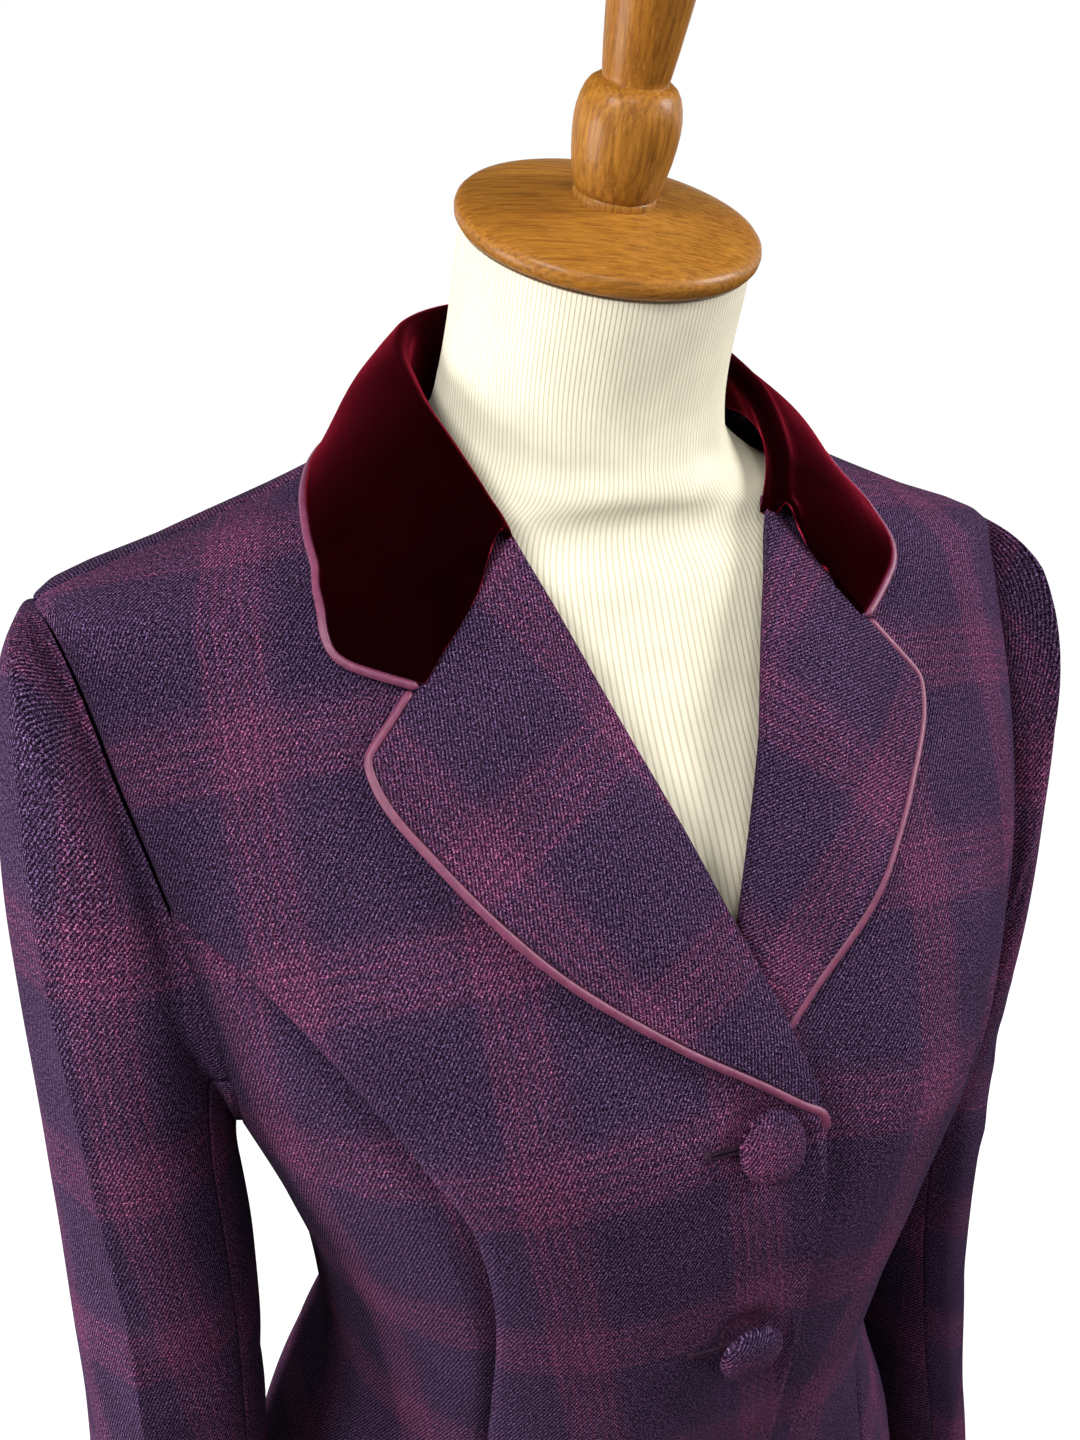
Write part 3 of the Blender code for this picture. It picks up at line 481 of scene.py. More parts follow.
body = {
    "neckHeight": 0.800, "hemDrop": 0.630, "frontLap": 0.018, "hemCorner": 0.045,
    "ventTop": 0.450, "ventSpread": 0.005, "wall": 0.0017,
    "breakDrop": 0.197, "breakReach": -0.016, "gorgeDrop": 0.030, "gorgeReach": 0.050,
    "neckTopDrop": 0.002, "neckTopReach": 0.0675,
    "armTop": 0.051, "armBottom": 0.247, "armSwing": 25.3, "seamTurn": 83.0,
    "edgeStand": 0.0020, "edgeWidth": 0.0035, "seamDip": 0.0014, "seamDipWidth": 0.0022,
    "seamGap": 0.03, "backGap": 0.00012,    # between panels, in degrees, and half the back's in metres
    "degree": 0.0026, "creaseDegree": 0.0024,    # cloth to a degree of angle, near enough
    "waver": 0.0007, "checkDrop": 0.203,    # the fronts' and backs' checks are set at this drop
    "sections": [    # drop, half width, front, back, centre, squareness
        (0.000, 0.070, 0.062, 0.052, 0.020, 2.00), (0.018, 0.110, 0.069, 0.060, 0.024, 2.00),
        (0.035, 0.154, 0.077, 0.070, 0.027, 2.00), (0.052, 0.196, 0.086, 0.082, 0.026, 2.10),
        (0.090, 0.195, 0.103, 0.105, 0.018, 2.20), (0.130, 0.188, 0.121, 0.118, 0.010, 2.30),
        (0.180, 0.174, 0.141, 0.123, 0.004, 2.35), (0.225, 0.158, 0.150, 0.120, 0.000, 2.35),
        (0.280, 0.138, 0.146, 0.112, 0.000, 2.30), (0.330, 0.124, 0.138, 0.103, 0.000, 2.25),
        (0.376, 0.120, 0.131, 0.098, 0.000, 2.20), (0.420, 0.134, 0.133, 0.110, 0.003, 2.20),
        (0.480, 0.155, 0.141, 0.132, 0.006, 2.20), (0.560, 0.168, 0.152, 0.152, 0.008, 2.20),
        (0.640, 0.174, 0.159, 0.164, 0.010, 2.20)],
    "underlap": [(0.095, 0.0000), (0.155, 0.0094), (0.225, 0.0094), (0.275, 0.0034), (0.630, 0.0034)],
    "underlapReach": (0.022, 0.060),
    "creaseSoft": (0.15, 0.45),    # shares of a crease: how far its ends run on, and how far they fade
    # soft troughs and ridges: start and end as angle and drop, half width, depth (less than 0 sinks)
    "creases": [
        ((74, 0.366), (104, 0.379), 0.0050, -0.0022), ((68, 0.385), (96, 0.388), 0.0060, 0.0014),
        ((80, 0.400), (112, 0.396), 0.0050, -0.0017), ((62, 0.352), (78, 0.345), 0.0050, -0.0010),
        ((118, 0.362), (150, 0.374), 0.0055, -0.0020), ((122, 0.386), (146, 0.392), 0.0060, -0.0014),
        ((50, 0.165), (36, 0.232), 0.0080, -0.0011), ((60, 0.200), (46, 0.262), 0.0075, -0.0012),
        ((118, 0.170), (136, 0.236), 0.0080, -0.0014), ((128, 0.150), (152, 0.190), 0.0090, -0.0011),
        ((20, 0.470), (24, 0.630), 0.0160, 0.0030), ((52, 0.455), (58, 0.630), 0.0190, -0.0034),
        ((86, 0.450), (88, 0.630), 0.0200, 0.0036), ((118, 0.460), (114, 0.630), 0.0190, -0.0034),
        ((148, 0.455), (142, 0.630), 0.0200, 0.0032)],
}
button = {
    "drops": (0.208, 0.295, 0.382), "reach": -0.004, "radius": 0.0122, "height": 0.0084,
    "clearance": 0.0014, "dimple": 0.0042, "steps": 64,
    "profile": [    # shares of the radius and of the height, from the crown round to the shank
        (0.0, 1.0), (0.22, 0.985), (0.45, 0.94), (0.65, 0.86), (0.80, 0.76), (0.91, 0.64), (0.98, 0.52),
        (1.0, 0.42), (0.985, 0.33), (0.94, 0.27), (0.85, 0.22), (0.66, 0.16), (0.50, 0.0), (0.20, 0.0)],
    "weaveAt": [(0.010, 0.003), (0.030, 0.006), (0.004, 0.030)], "weaveStretch": 1.15,
}
bodySection = curveThrough(body["sections"])
underlapDepth = curveThrough(body["underlap"])


def bodyAt(angle, drop):
    # a point of the cloth's outline: angle in degrees from the centre front, drop below the neck
    half, front, back, centre, square = bodySection(round(drop, 5))
    across, along = sine(angle), cosine(angle)
    depth = front if along > 0 else back
    return Vector((half * bowed(across, 2 / square), centre - depth * bowed(along, 2 / square),
                   body["neckHeight"] - drop))


def bodyNormal(angle, drop):
    # from a small step round the body and a small one up it
    along = bodyAt(angle + 0.05, drop) - bodyAt(angle - 0.05, drop)
    up = bodyAt(angle, drop - 0.0002) - bodyAt(angle, drop + 0.0002)
    return along.cross(up).normalized()


def onBody(angle, drop, lift=0.0):
    return bodyAt(angle, drop) + bodyNormal(angle, drop) * lift


def angleAt(reach, drop, behind=False):
    # reach is the distance from the middle, towards either side
    half, square = bodySection(round(drop, 5))[0], bodySection(round(drop, 5))[4]
    share = min(max(reach / half, -1), 1)
    angle = math.degrees(math.asin(bowed(share, square / 2)))
    return 180 - angle if behind else angle


def armholeDrop(turn, inset=0.0):
    # a turn of 0 is the armhole's top, 90 its front, 180 the underarm
    half = (body["armBottom"] - body["armTop"]) / 2
    return (body["armBottom"] + body["armTop"]) / 2 - (half - inset) * cosine(turn)


def armholeAngle(turn, inset=0.0):
    fullness = 0.80 if cosine(turn) > 0 else 1.15
    return 90 - (body["armSwing"] - inset) * bowed(sine(turn), fullness)


seamDrop = armholeDrop(body["seamTurn"])
seamReach = bodyAt(armholeAngle(body["seamTurn"]), seamDrop).x
princess = {
    # drop and reach
    "front": curveThrough([
        (seamDrop, seamReach), (0.156, 0.1485), (0.180, 0.1290), (0.205, 0.1120), (0.235, 0.0960),
        (0.280, 0.0880), (0.330, 0.0855), (0.376, 0.0850), (0.450, 0.0920), (0.630, 0.1060)]),
    "back": curveThrough([
        (seamDrop, seamReach), (0.156, 0.1480), (0.180, 0.1250), (0.205, 0.1060), (0.235, 0.0890),
        (0.280, 0.0730), (0.330, 0.0640), (0.376, 0.0610), (0.450, 0.0690), (0.630, 0.0900)]),
}


def frontEdge(drop):
    # straight, then the roll line, then the neckline
    if drop >= body["breakDrop"]:
        rise = body["hemCorner"] - (body["hemDrop"] - drop)
        if rise <= 0:
            return -body["frontLap"]
        return body["hemCorner"] - body["frontLap"] - math.sqrt(max(body["hemCorner"] ** 2 - rise ** 2, 0.0))
    if drop >= body["gorgeDrop"]:
        share = (body["breakDrop"] - drop) / (body["breakDrop"] - body["gorgeDrop"])
        return mix(body["breakReach"], body["gorgeReach"], share)
    share = (body["gorgeDrop"] - drop) / (body["gorgeDrop"] - body["neckTopDrop"])
    return mix(body["gorgeReach"], body["neckTopReach"], share)


def seamEdge(drop, end):
    # princess seam, then armhole, then shoulder seam
    if drop >= seamDrop - 1e-6:
        return angleAt(princess[end](round(drop, 6))[0], drop, end == "back")
    if drop <= body["armTop"] + 1e-6:
        return 90.0
    middle, half = (body["armBottom"] + body["armTop"]) / 2, (body["armBottom"] - body["armTop"]) / 2
    turn = math.degrees(math.acos((middle - drop) / half))
    return armholeAngle(360 - turn if end == "back" else turn)


def underlap(reach, drop, side):
    # how far a left piece lies in under the right front
    if side < 0:
        return 0.0
    inner, outer = body["underlapReach"]
    return underlapDepth(round(drop, 5))[0] * (1 - ease((reach - inner) / (outer - inner)))


def seamDip(distance):
    return -body["seamDip"] * math.exp(-(distance / body["seamDipWidth"]) ** 2)


def pressed(spot, a, b, width, depth, softEnds, runsOn=False):
    # what a crease from a to b lifts at a spot: a soft section, and ends that fade unless it runs on
    soft, span = softEnds
    run = b - a
    f = (spot - a).dot(run) / run.length_squared
    away = (spot - a - run * f).length
    if away > 3 * width or not -0.3 < f < 1.3:
        return 0.0
    fade = ease((f + soft) / span) * (1.0 if runsOn else ease((1 + soft - f) / span))
    return depth * fade * math.exp(-(away / width) ** 2)


def creaseLift(angle, drop, side):
    lift, degree = 0.0, body["creaseDegree"]
    for n, (start, end, width, depth) in enumerate(body["creases"]):
        if (n + (side > 0)) % 5 == 4:
            continue    # the two sides don't crease alike, and no two creases are of one strength
        skew = 0.006 * math.sin(7 * n + 2 * side)
        a, b = (Vector((turn * degree, at + skew)) for turn, at in (start, end))
        strength = 0.8 + 0.35 * math.sin(3 * n + side)
        spot = Vector((angle * degree, drop))
        lift += pressed(spot, a, b, width, depth, body["creaseSoft"], end[1] > 0.6) * strength
    if side < 0 and angle < 20:
        for at in button["drops"]:    # drawn in under each button
            away = math.hypot(bodyAt(angle, drop).x - button["reach"] * side, drop - at)
            lift -= button["dimple"] * math.exp(-(away / (1.02 * button["radius"])) ** 4)
    return lift + body["waver"] * noise.noise(Vector((angle * 0.035 + side * 9, drop * 16, 0)))


def clothPoint(angle, drop, side, dip=0.0, sunk=0.0):
    return mirrored(onBody(angle, drop, creaseLift(angle, drop, side) + dip - sunk), side)


def bodyCore(point):
    return Vector((0, 0.01, point.z))


# rows lie closer round the hem's corner
hemRises = (0, 0.0012, 0.0035, 0.007, 0.0115, 0.017, 0.0235, 0.031, 0.038)
lowerDrops = [body["hemDrop"] - rise for rise in hemRises]
lowerDrops += steps(body["hemDrop"] - body["hemCorner"], seamDrop, 110)
armDrops = [armholeDrop(turn) for turn in steps(body["seamTurn"], 0, 26)]
panelDrops = lowerDrops + armDrops[1:] + steps(0.048, body["neckTopDrop"], 12)
panel = {    # columns of the grid, the spot of the check at the piece's anchor, and its lean
    "front": {"columns": 66, "check": (-0.0274, -0.0025), "lean": 8},
    "side": {"columns": 64, "check": (-0.06, -0.031)},
    "back": {"columns": 56, "check": (0.5 * plaid["across"], 0.0)},
}


def rowNear(drop):
    return min(range(len(panelDrops)), key=lambda k: abs(panelDrops[k] - drop))


def buildFront(end, side):
    columns, rows = panel["front"]["columns"], len(panelDrops) - 1

    def place(i, j):
        drop = panelDrops[j]
        start, stop = angleAt(frontEdge(drop), drop), seamEdge(drop, "front") - body["seamGap"]
        angle = mix(start, stop, i / columns)
        reach = bodyAt(angle, drop).x
        toSeam = (stop - angle) * body["degree"] * (0.75 if drop < seamDrop else 1.0)
        lift = seamDip(toSeam)
        if side < 0:    # the edge on top stands off a little
            toEdge = (angle - start) * body["degree"]
            stand = body["edgeStand"] * math.exp(-(toEdge / body["edgeWidth"]) ** 2)
            lift += stand * ease((drop - body["breakDrop"]) / 0.02)
        return clothPoint(angle, drop, side, lift, underlap(reach, drop, side))

    piece = clothPiece("front" + end.title(), shapedGrid(columns, rows, place, bodyCore), "front_" + end)
    upper, lower, anchor = ((0, rowNear(drop)) for drop in (0.215, 0.560, body["checkDrop"]))
    u, v = panel["front"]["check"]
    cut = layOut(piece, columns, upper, lower, anchor, (u * side, v), panel["front"]["lean"] * side)
    thicken(piece, body["wall"])
    return piece, cut


def buildBack(end, side):
    drops = panelDrops[:-1] + [0.0]
    columns, rows = panel["back"]["columns"], len(drops) - 1

    def place(i, j):
        drop = drops[j]
        vent = body["ventSpread"] * ease((drop - body["ventTop"]) / (body["hemDrop"] - body["ventTop"]))
        start, stop = seamEdge(drop, "back") + body["seamGap"], angleAt(body["backGap"] + vent, drop, True)
        angle = mix(start, stop, i / columns)
        dip = seamDip((angle - start) * body["degree"])
        if drop < body["ventTop"]:
            dip += seamDip((stop - angle) * 0.0020)
        return clothPoint(angle, drop, side, dip)

    piece = clothPiece("back" + end.title(), shapedGrid(columns, rows, place, bodyCore), "back_" + end)
    upper, lower, anchor = ((columns, rowNear(drop)) for drop in (0.100, 0.440, body["checkDrop"]))
    cut = layOut(piece, columns, upper, lower, anchor, panel["back"]["check"])
    thicken(piece, body["wall"])
    return piece, cut


def buildSide(end, side):
    columns, rows = panel["side"]["columns"], len(lowerDrops) - 1
    turns = steps(body["seamTurn"], 360 - body["seamTurn"], columns)

    def place(i, j):
        top = armholeDrop(turns[i])
        ends = [seamEdge(max(top, seamDrop), name) for name in ("front", "back")]
        topShare = (armholeAngle(turns[i]) - ends[0]) / (ends[1] - ends[0])
        rise = (body["hemDrop"] - lowerDrops[j]) / (body["hemDrop"] - seamDrop)
        drop = mix(body["hemDrop"], top, rise)
        front, back = seamEdge(drop, "front") + body["seamGap"], seamEdge(drop, "back") - body["seamGap"]
        angle = mix(front, back, mix(i / columns, topShare, rise ** 2))
        dip = seamDip((angle - front) * body["degree"]) + seamDip((back - angle) * body["degree"])
        return clothPoint(angle, drop, side, dip)

    piece = clothPiece("side" + end.title(), shapedGrid(columns, rows, place, bodyCore), "side_" + end)
    upper, lower = ((columns // 2, round(share * rows)) for share in (0.62, 0.10))
    u, v = panel["side"]["check"]
    cut = layOut(piece, columns, upper, lower, (0, round(0.80 * rows)), (u * side, v))
    thicken(piece, body["wall"])
    return piece, cut


cuts = {}
pieces = {}
for end, side in sides.items():
    for kind, make in (("front", buildFront), ("side", buildSide), ("back", buildBack)):
        pieces[kind + end], cuts[kind + end] = make(end, side)
print("body panels cut and laid")


# Lapels turn back over a soft roll, with the edges piped

lapel = {
    "wall": 0.0024, "clearance": 0.0017, "solidWall": 0.0026, "swell": 0.0034, "rollRadius": 0.0026,
    "steps": (110, 48), "rollSteps": 12, "waver": 0.0006,
    "tuck": 0.035, "sink": 0.0035,    # what runs on under the collar, and how much lower it lies
    "notch": {-1: 0.66, 1: 0.60}, "pipedFrom": 0.04,    # the collar's share of the top, and the gap after it
    "tail": [    # reach, drop and lift where the right piping turns down over the front's edge
        (-0.0166, 0.2022, 0.0046), (-0.0176, 0.2052, 0.0040), (-0.0176, 0.2088, 0.0026)],
    "check": {"right": ((0.0253, 0.0042), 7), "left": ((-0.0245, 0.0056), 4)},    # the plaid's spot and lean
    "edge": [    # share down the roll, reach of the right edge, of the left one, drop
        (0.00, 0.1070, 0.0960, 0.0880), (0.08, 0.1050, 0.0935, 0.0965), (0.28, 0.0920, 0.0790, 0.1160),
        (0.52, 0.0650, 0.0510, 0.1460), (0.76, 0.0310, 0.0200, 0.1710), (0.92, 0.0030, -0.0020, 0.1885),
        (1.00, -0.0155, -0.0155, 0.2010)],
}
piping = {"radius": 0.00155, "around": 14, "step": 0.0016, "flat": 0.92, "uneven": 0.06}
lapelEdge = curveThrough(lapel["edge"])


def lapelSpot(along, across, side):
    right, left, edgeDrop = lapelEdge(round(along, 5))
    return (mix(mix(body["gorgeReach"], body["breakReach"], along), left if side > 0 else right, across),
            mix(mix(body["gorgeDrop"], body["breakDrop"], along), edgeDrop, across))


def lapelPoint(along, across, side, depth=0.0):
    reach, drop = lapelSpot(along, across, side)
    swell = lapel["swell"] * math.sin(math.pi * min(across * 1.25, 1.0))
    swell *= ease(along / 0.2)
    swell *= 1 - max(along, 0) ** 3
    waver = lapel["waver"] * noise.noise(Vector((along * 5, across * 2.5, side)))
    sink = lapel["sink"] * ease(-along / 0.02)
    lift = lapel["clearance"] + lapel["solidWall"] + swell + waver - sink - depth
    lift -= underlap(reach, drop, side)
    return mirrored(onBody(angleAt(reach, drop), drop, lift), side)


def buildLapel(end, side):
    downSteps, crossSteps = lapel["steps"]
    turns = lapel["rollSteps"]
    columns = crossSteps + turns

    def place(i, j):
        across = max(i - turns, 0) / crossSteps
        tuck = lapel["tuck"] * (1 - ease(across / 0.55))
        along = mix(-tuck, 1.0, j / downSteps)
        if i >= turns:
            return lapelPoint(along, across, side)
        # the roll: half a circle from the face down to the front's edge
        face, inside = lapelPoint(along, 0.0, side), lapelPoint(along, 0.03, side)
        under = lapelPoint(along, 0.0, side, 0.002)
        up, out = (face - under).normalized(), (face - inside).normalized()
        out = (out - up * out.dot(up)).normalized()
        theta = math.pi * 0.95 * (1 - i / turns)
        radius = lapel["rollRadius"] * (1 - 0.45 * along ** 4)    # tighter towards the button
        return face - up * radius * (1 - math.cos(theta)) + out * radius * math.sin(theta)

    piece = clothPiece("lapel" + end.title(), shapedGrid(columns, downSteps, place, bodyCore), "lapel_" + end)
    upper, lower = ((columns, round(along * downSteps)) for along in (0.12, 0.72))
    anchor = (turns + crossSteps // 2, round(0.30 * downSteps))
    cut = layOut(piece, columns, upper, lower, anchor, *lapel["check"][end])
    thicken(piece, lapel["wall"])
    return piece, cut


def pushedOut(points, inward):
    # a line moved off the cloth's edge by the piping's radius
    path = []
    for k, point in enumerate(points):
        run = (points[min(k + 1, len(points) - 1)] - points[max(k - 1, 0)]).normalized()
        away = point - inward[k]
        away -= run * away.dot(run)
        path.append(point + away.normalized() * piping["radius"])
    return path


def pipedCord(name, path, node):
    # cord swept along the path, a little uneven and flattened, rounded off at both ends
    around, along, radius = piping["around"], len(path) - 1, piping["radius"]
    lengths = lengthsAlong(path)

    def place(i, j):
        run = (path[min(j + 1, along)] - path[max(j - 1, 0)]).normalized()
        out = Vector((path[j].x, path[j].y - 0.01, 0.12)).normalized()
        across = run.cross(out).normalized()
        up = across.cross(run)
        turn = 2 * math.pi * i / around
        size = radius * (1 + piping["uneven"] * noise.noise(Vector((lengths[j] * 90, 0, radius * 1e4))))
        size *= math.sqrt(max(min(1.0, lengths[j] / radius, (lengths[-1] - lengths[j]) / radius), 0.02))
        point = path[j] + across * size * math.cos(turn) + up * size * piping["flat"] * math.sin(turn)
        return point, (i / around * 2 * math.pi * radius, lengths[j])

    bm = wrappedGrid(around, along, place)
    return addPiece(name, meshFrom(bm, name, 70), "piping", [node])


def evenPath(points):
    # the same line stepped evenly
    lengths = lengthsAlong(points)
    path = []
    for at in steps(0.0, lengths[-1], max(int(lengths[-1] / piping["step"]), 2)):
        k = min(bisect.bisect_right(lengths, at) - 1, len(points) - 2)
        path.append(points[k].lerp(points[k + 1], (at - lengths[k]) / (lengths[k + 1] - lengths[k])))
    for _ in range(6):    # rounds the corner a little
        path = [path[0]] + [(a + 2 * b + c) / 4 for a, b, c in zip(path, path[1:], path[2:])] + [path[-1]]
    return path


def buildLapelPiping(end, side):
    middle = lapel["wall"] / 2
    points, inward = [], []
    for across in steps(lapel["notch"][side] + lapel["pipedFrom"], 1.0, 14):
        points.append(lapelPoint(0.0, across, side, middle))
        inward.append(lapelPoint(0.07, across * 0.95, side, middle))
    for along in steps(0.0, 1.0, 120)[1:]:
        points.append(lapelPoint(along, 1.0, side, middle))
        inward.append(lapelPoint(max(along, 0.05), 0.9, side, middle))
    path = pushedOut(points, inward)
    if side < 0:
        tail = [onBody(angleAt(reach, drop), drop, lift) for reach, drop, lift in lapel["tail"]]
        path = path[:-2] + [mirrored(point, side) for point in tail]
    return pipedCord("lapelPiping" + end.title(), evenPath(path), "lapel_piping_" + end)


for end, side in sides.items():
    pieces["lapel" + end], cuts["lapel" + end] = buildLapel(end, side)
    pieces["lapelPiping" + end] = buildLapelPiping(end, side)
print("lapels rolled and piped")


# Velvet collar, stand and fall in one

collar = {
    "wall": 0.0026, "lift": 0.0044, "bulge": 0.0035, "standInset": 0.0026, "foldHalf": 0.0032,
    "gorgeGap": 0.0003, "sewnShare": 0.04, "waver": 0.0006, "stations": 84, "spacing": 1.4, "across": 40,
    # share to the nape, fold x, y and rise, right edge's angle and drop, left edge's, neck seam's
    "rows": [
        (0.00, 0.0536, -0.0477, -0.0240, 25.3, 0.0672, 25.3, 0.0620, 20.0, 0.0296),
        (0.04, 0.0546, -0.0457, -0.0212, 31.8, 0.0611, 28.4, 0.0513, 21.8, 0.0272),
        (0.08, 0.0556, -0.0435, -0.0184, 33.3, 0.0574, 30.2, 0.0481, 23.6, 0.0250),
        (0.12, 0.0573, -0.0406, -0.0150, 34.1, 0.0498, 33.7, 0.0430, 26.0, 0.0236),
        (0.18, 0.0597, -0.0362, -0.0095, 39.35, 0.0415, 38.8, 0.0363, 30.0, 0.0205),
        (0.30, 0.0636, -0.0215, 0.0018, 54.3, 0.0270, 49.5, 0.0205, 41.0, 0.0128),
        (0.42, 0.0663, -0.0025, 0.0126, 78.6, 0.0146, 70.0, 0.0113, 54.0, 0.0050),
        (0.55, 0.0650, 0.0200, 0.0220, 96.0, 0.0098, 96.0, 0.0098, 90.0, 0.0000),
        (0.70, 0.0550, 0.0470, 0.0320, 116.0, 0.0082, 116.0, 0.0082, 118.0, 0.0000),
        (0.85, 0.0310, 0.0650, 0.0370, 146.0, 0.0095, 146.0, 0.0095, 150.0, 0.0000),
        (1.00, 0.0000, 0.0710, 0.0390, 180.0, 0.0110, 180.0, 0.0110, 180.0, 0.0000)],
}
collarRow = curveThrough(collar["rows"])


def gorgeEnd(side):
    start, end = Vector(lapelSpot(0.0, 0.0, side)), Vector(lapelSpot(0.0, lapel["notch"][side], side))
    run = (end - start).normalized()
    reach, drop = end + Vector((run.y, -run.x)) * collar["gorgeGap"]
    return angleAt(reach, drop), drop


def collarSection(along, side):
    # up the stand, over the fold and down the fall
    x, y, rise, *edges, baseAngle, baseDrop = collarRow(round(along, 5))
    edgeAngle, edgeDrop = edges[2:] if side > 0 else edges[:2]
    fold = Vector((x, y, body["neckHeight"] + rise))
    sewn = 1 - ease(along / collar["sewnShare"])
    edgeAngle = mix(edgeAngle, gorgeEnd(side)[0], sewn)
    edgeDrop = mix(edgeDrop, gorgeEnd(side)[1], sewn)
    edge = onBody(edgeAngle, edgeDrop, collar["lift"])
    if baseDrop > body["neckTopDrop"]:
        baseAngle = angleAt(frontEdge(baseDrop), baseDrop)
    base = bodyAt(baseAngle, baseDrop)
    base -= Vector((base.x, base.y - 0.020, 0.0)).normalized() * collar["standInset"]
    base.z += 0.001
    out = edge - fold
    out.z = 0.0
    out.normalize()
    up = Vector((0.0, 0.0, 1.0))
    standTop = fold - (out + up) * collar["foldHalf"]
    fallTop = fold + out * collar["foldHalf"] * 1.2 - up * collar["foldHalf"] * 0.8
    fall = edge - fallTop
    square = Vector((-out.x * fall.z, -out.y * fall.z, fall.xy.length)).normalized()
    points = [base, base.lerp(standTop, 0.5), standTop, fold + up * 0.0004]
    for f in (0.0, 0.2, 0.4, 0.6, 0.8, 1.0):
        bulge = collar["bulge"] * math.sin(math.pi * f) * (0.35 + 0.65 * along)    # fuller towards the nape
        reach, drop = lapelSpot(0.0, lapel["notch"][side] * f, side)
        level = onBody(angleAt(reach, drop), drop, collar["lift"])    # beside the lapel where they are sewn
        points.append((fallTop + fall * f + square * bulge).lerp(level, sewn * ease(f / 0.4)))
    return points


def buildCollar():
    half, across = collar["stations"], collar["across"]
    shares = [share ** collar["spacing"] for share in steps(0, 1, half)]
    sections = [[mirrored(p, -1) for p in collarSection(along, -1)] for along in shares]
    sections += [collarSection(along, 1) for along in reversed(shares[:-1])]

    def place(i, j):
        point = splineAt(sections[j], i / across)
        waver = noise.noise(Vector((j * 0.06, i * 0.09, 4)))
        out = Vector((point.x, point.y - 0.02, 0.04)).normalized()
        return point + out * collar["waver"] * waver * ease((i / across - 0.4) / 0.3)

    bm = shapedGrid(across, 2 * half, place, lambda p: Vector((0, 0.02, p.z - 0.06)))
    mesh = meshFrom(bm, "collarVelvet")
    piece = addPiece("collarVelvet", mesh, "velvet", ["collar"])
    cut = layOut(piece, across, (8, half), (across, half), (0, half), (0.0, 0.0))
    shell = piece.modifiers.new("wall", "SOLIDIFY")
    shell.thickness = collar["wall"]
    shell.offset = 0
    edge = [section[-1] for section in sections]
    inside = [section[-2] for section in sections]
    cord = pipedCord("collarPiping", evenPath(pushedOut(edge, inside)[2:-2]), "collar_piping")
    return piece, cord, cut


pieces["collar"], pieces["collarPiping"], cuts["collar"] = buildCollar()
print("collar folded and piped")


# Two-piece sleeves hang empty, each in its own way, with a pressed ridge down the front

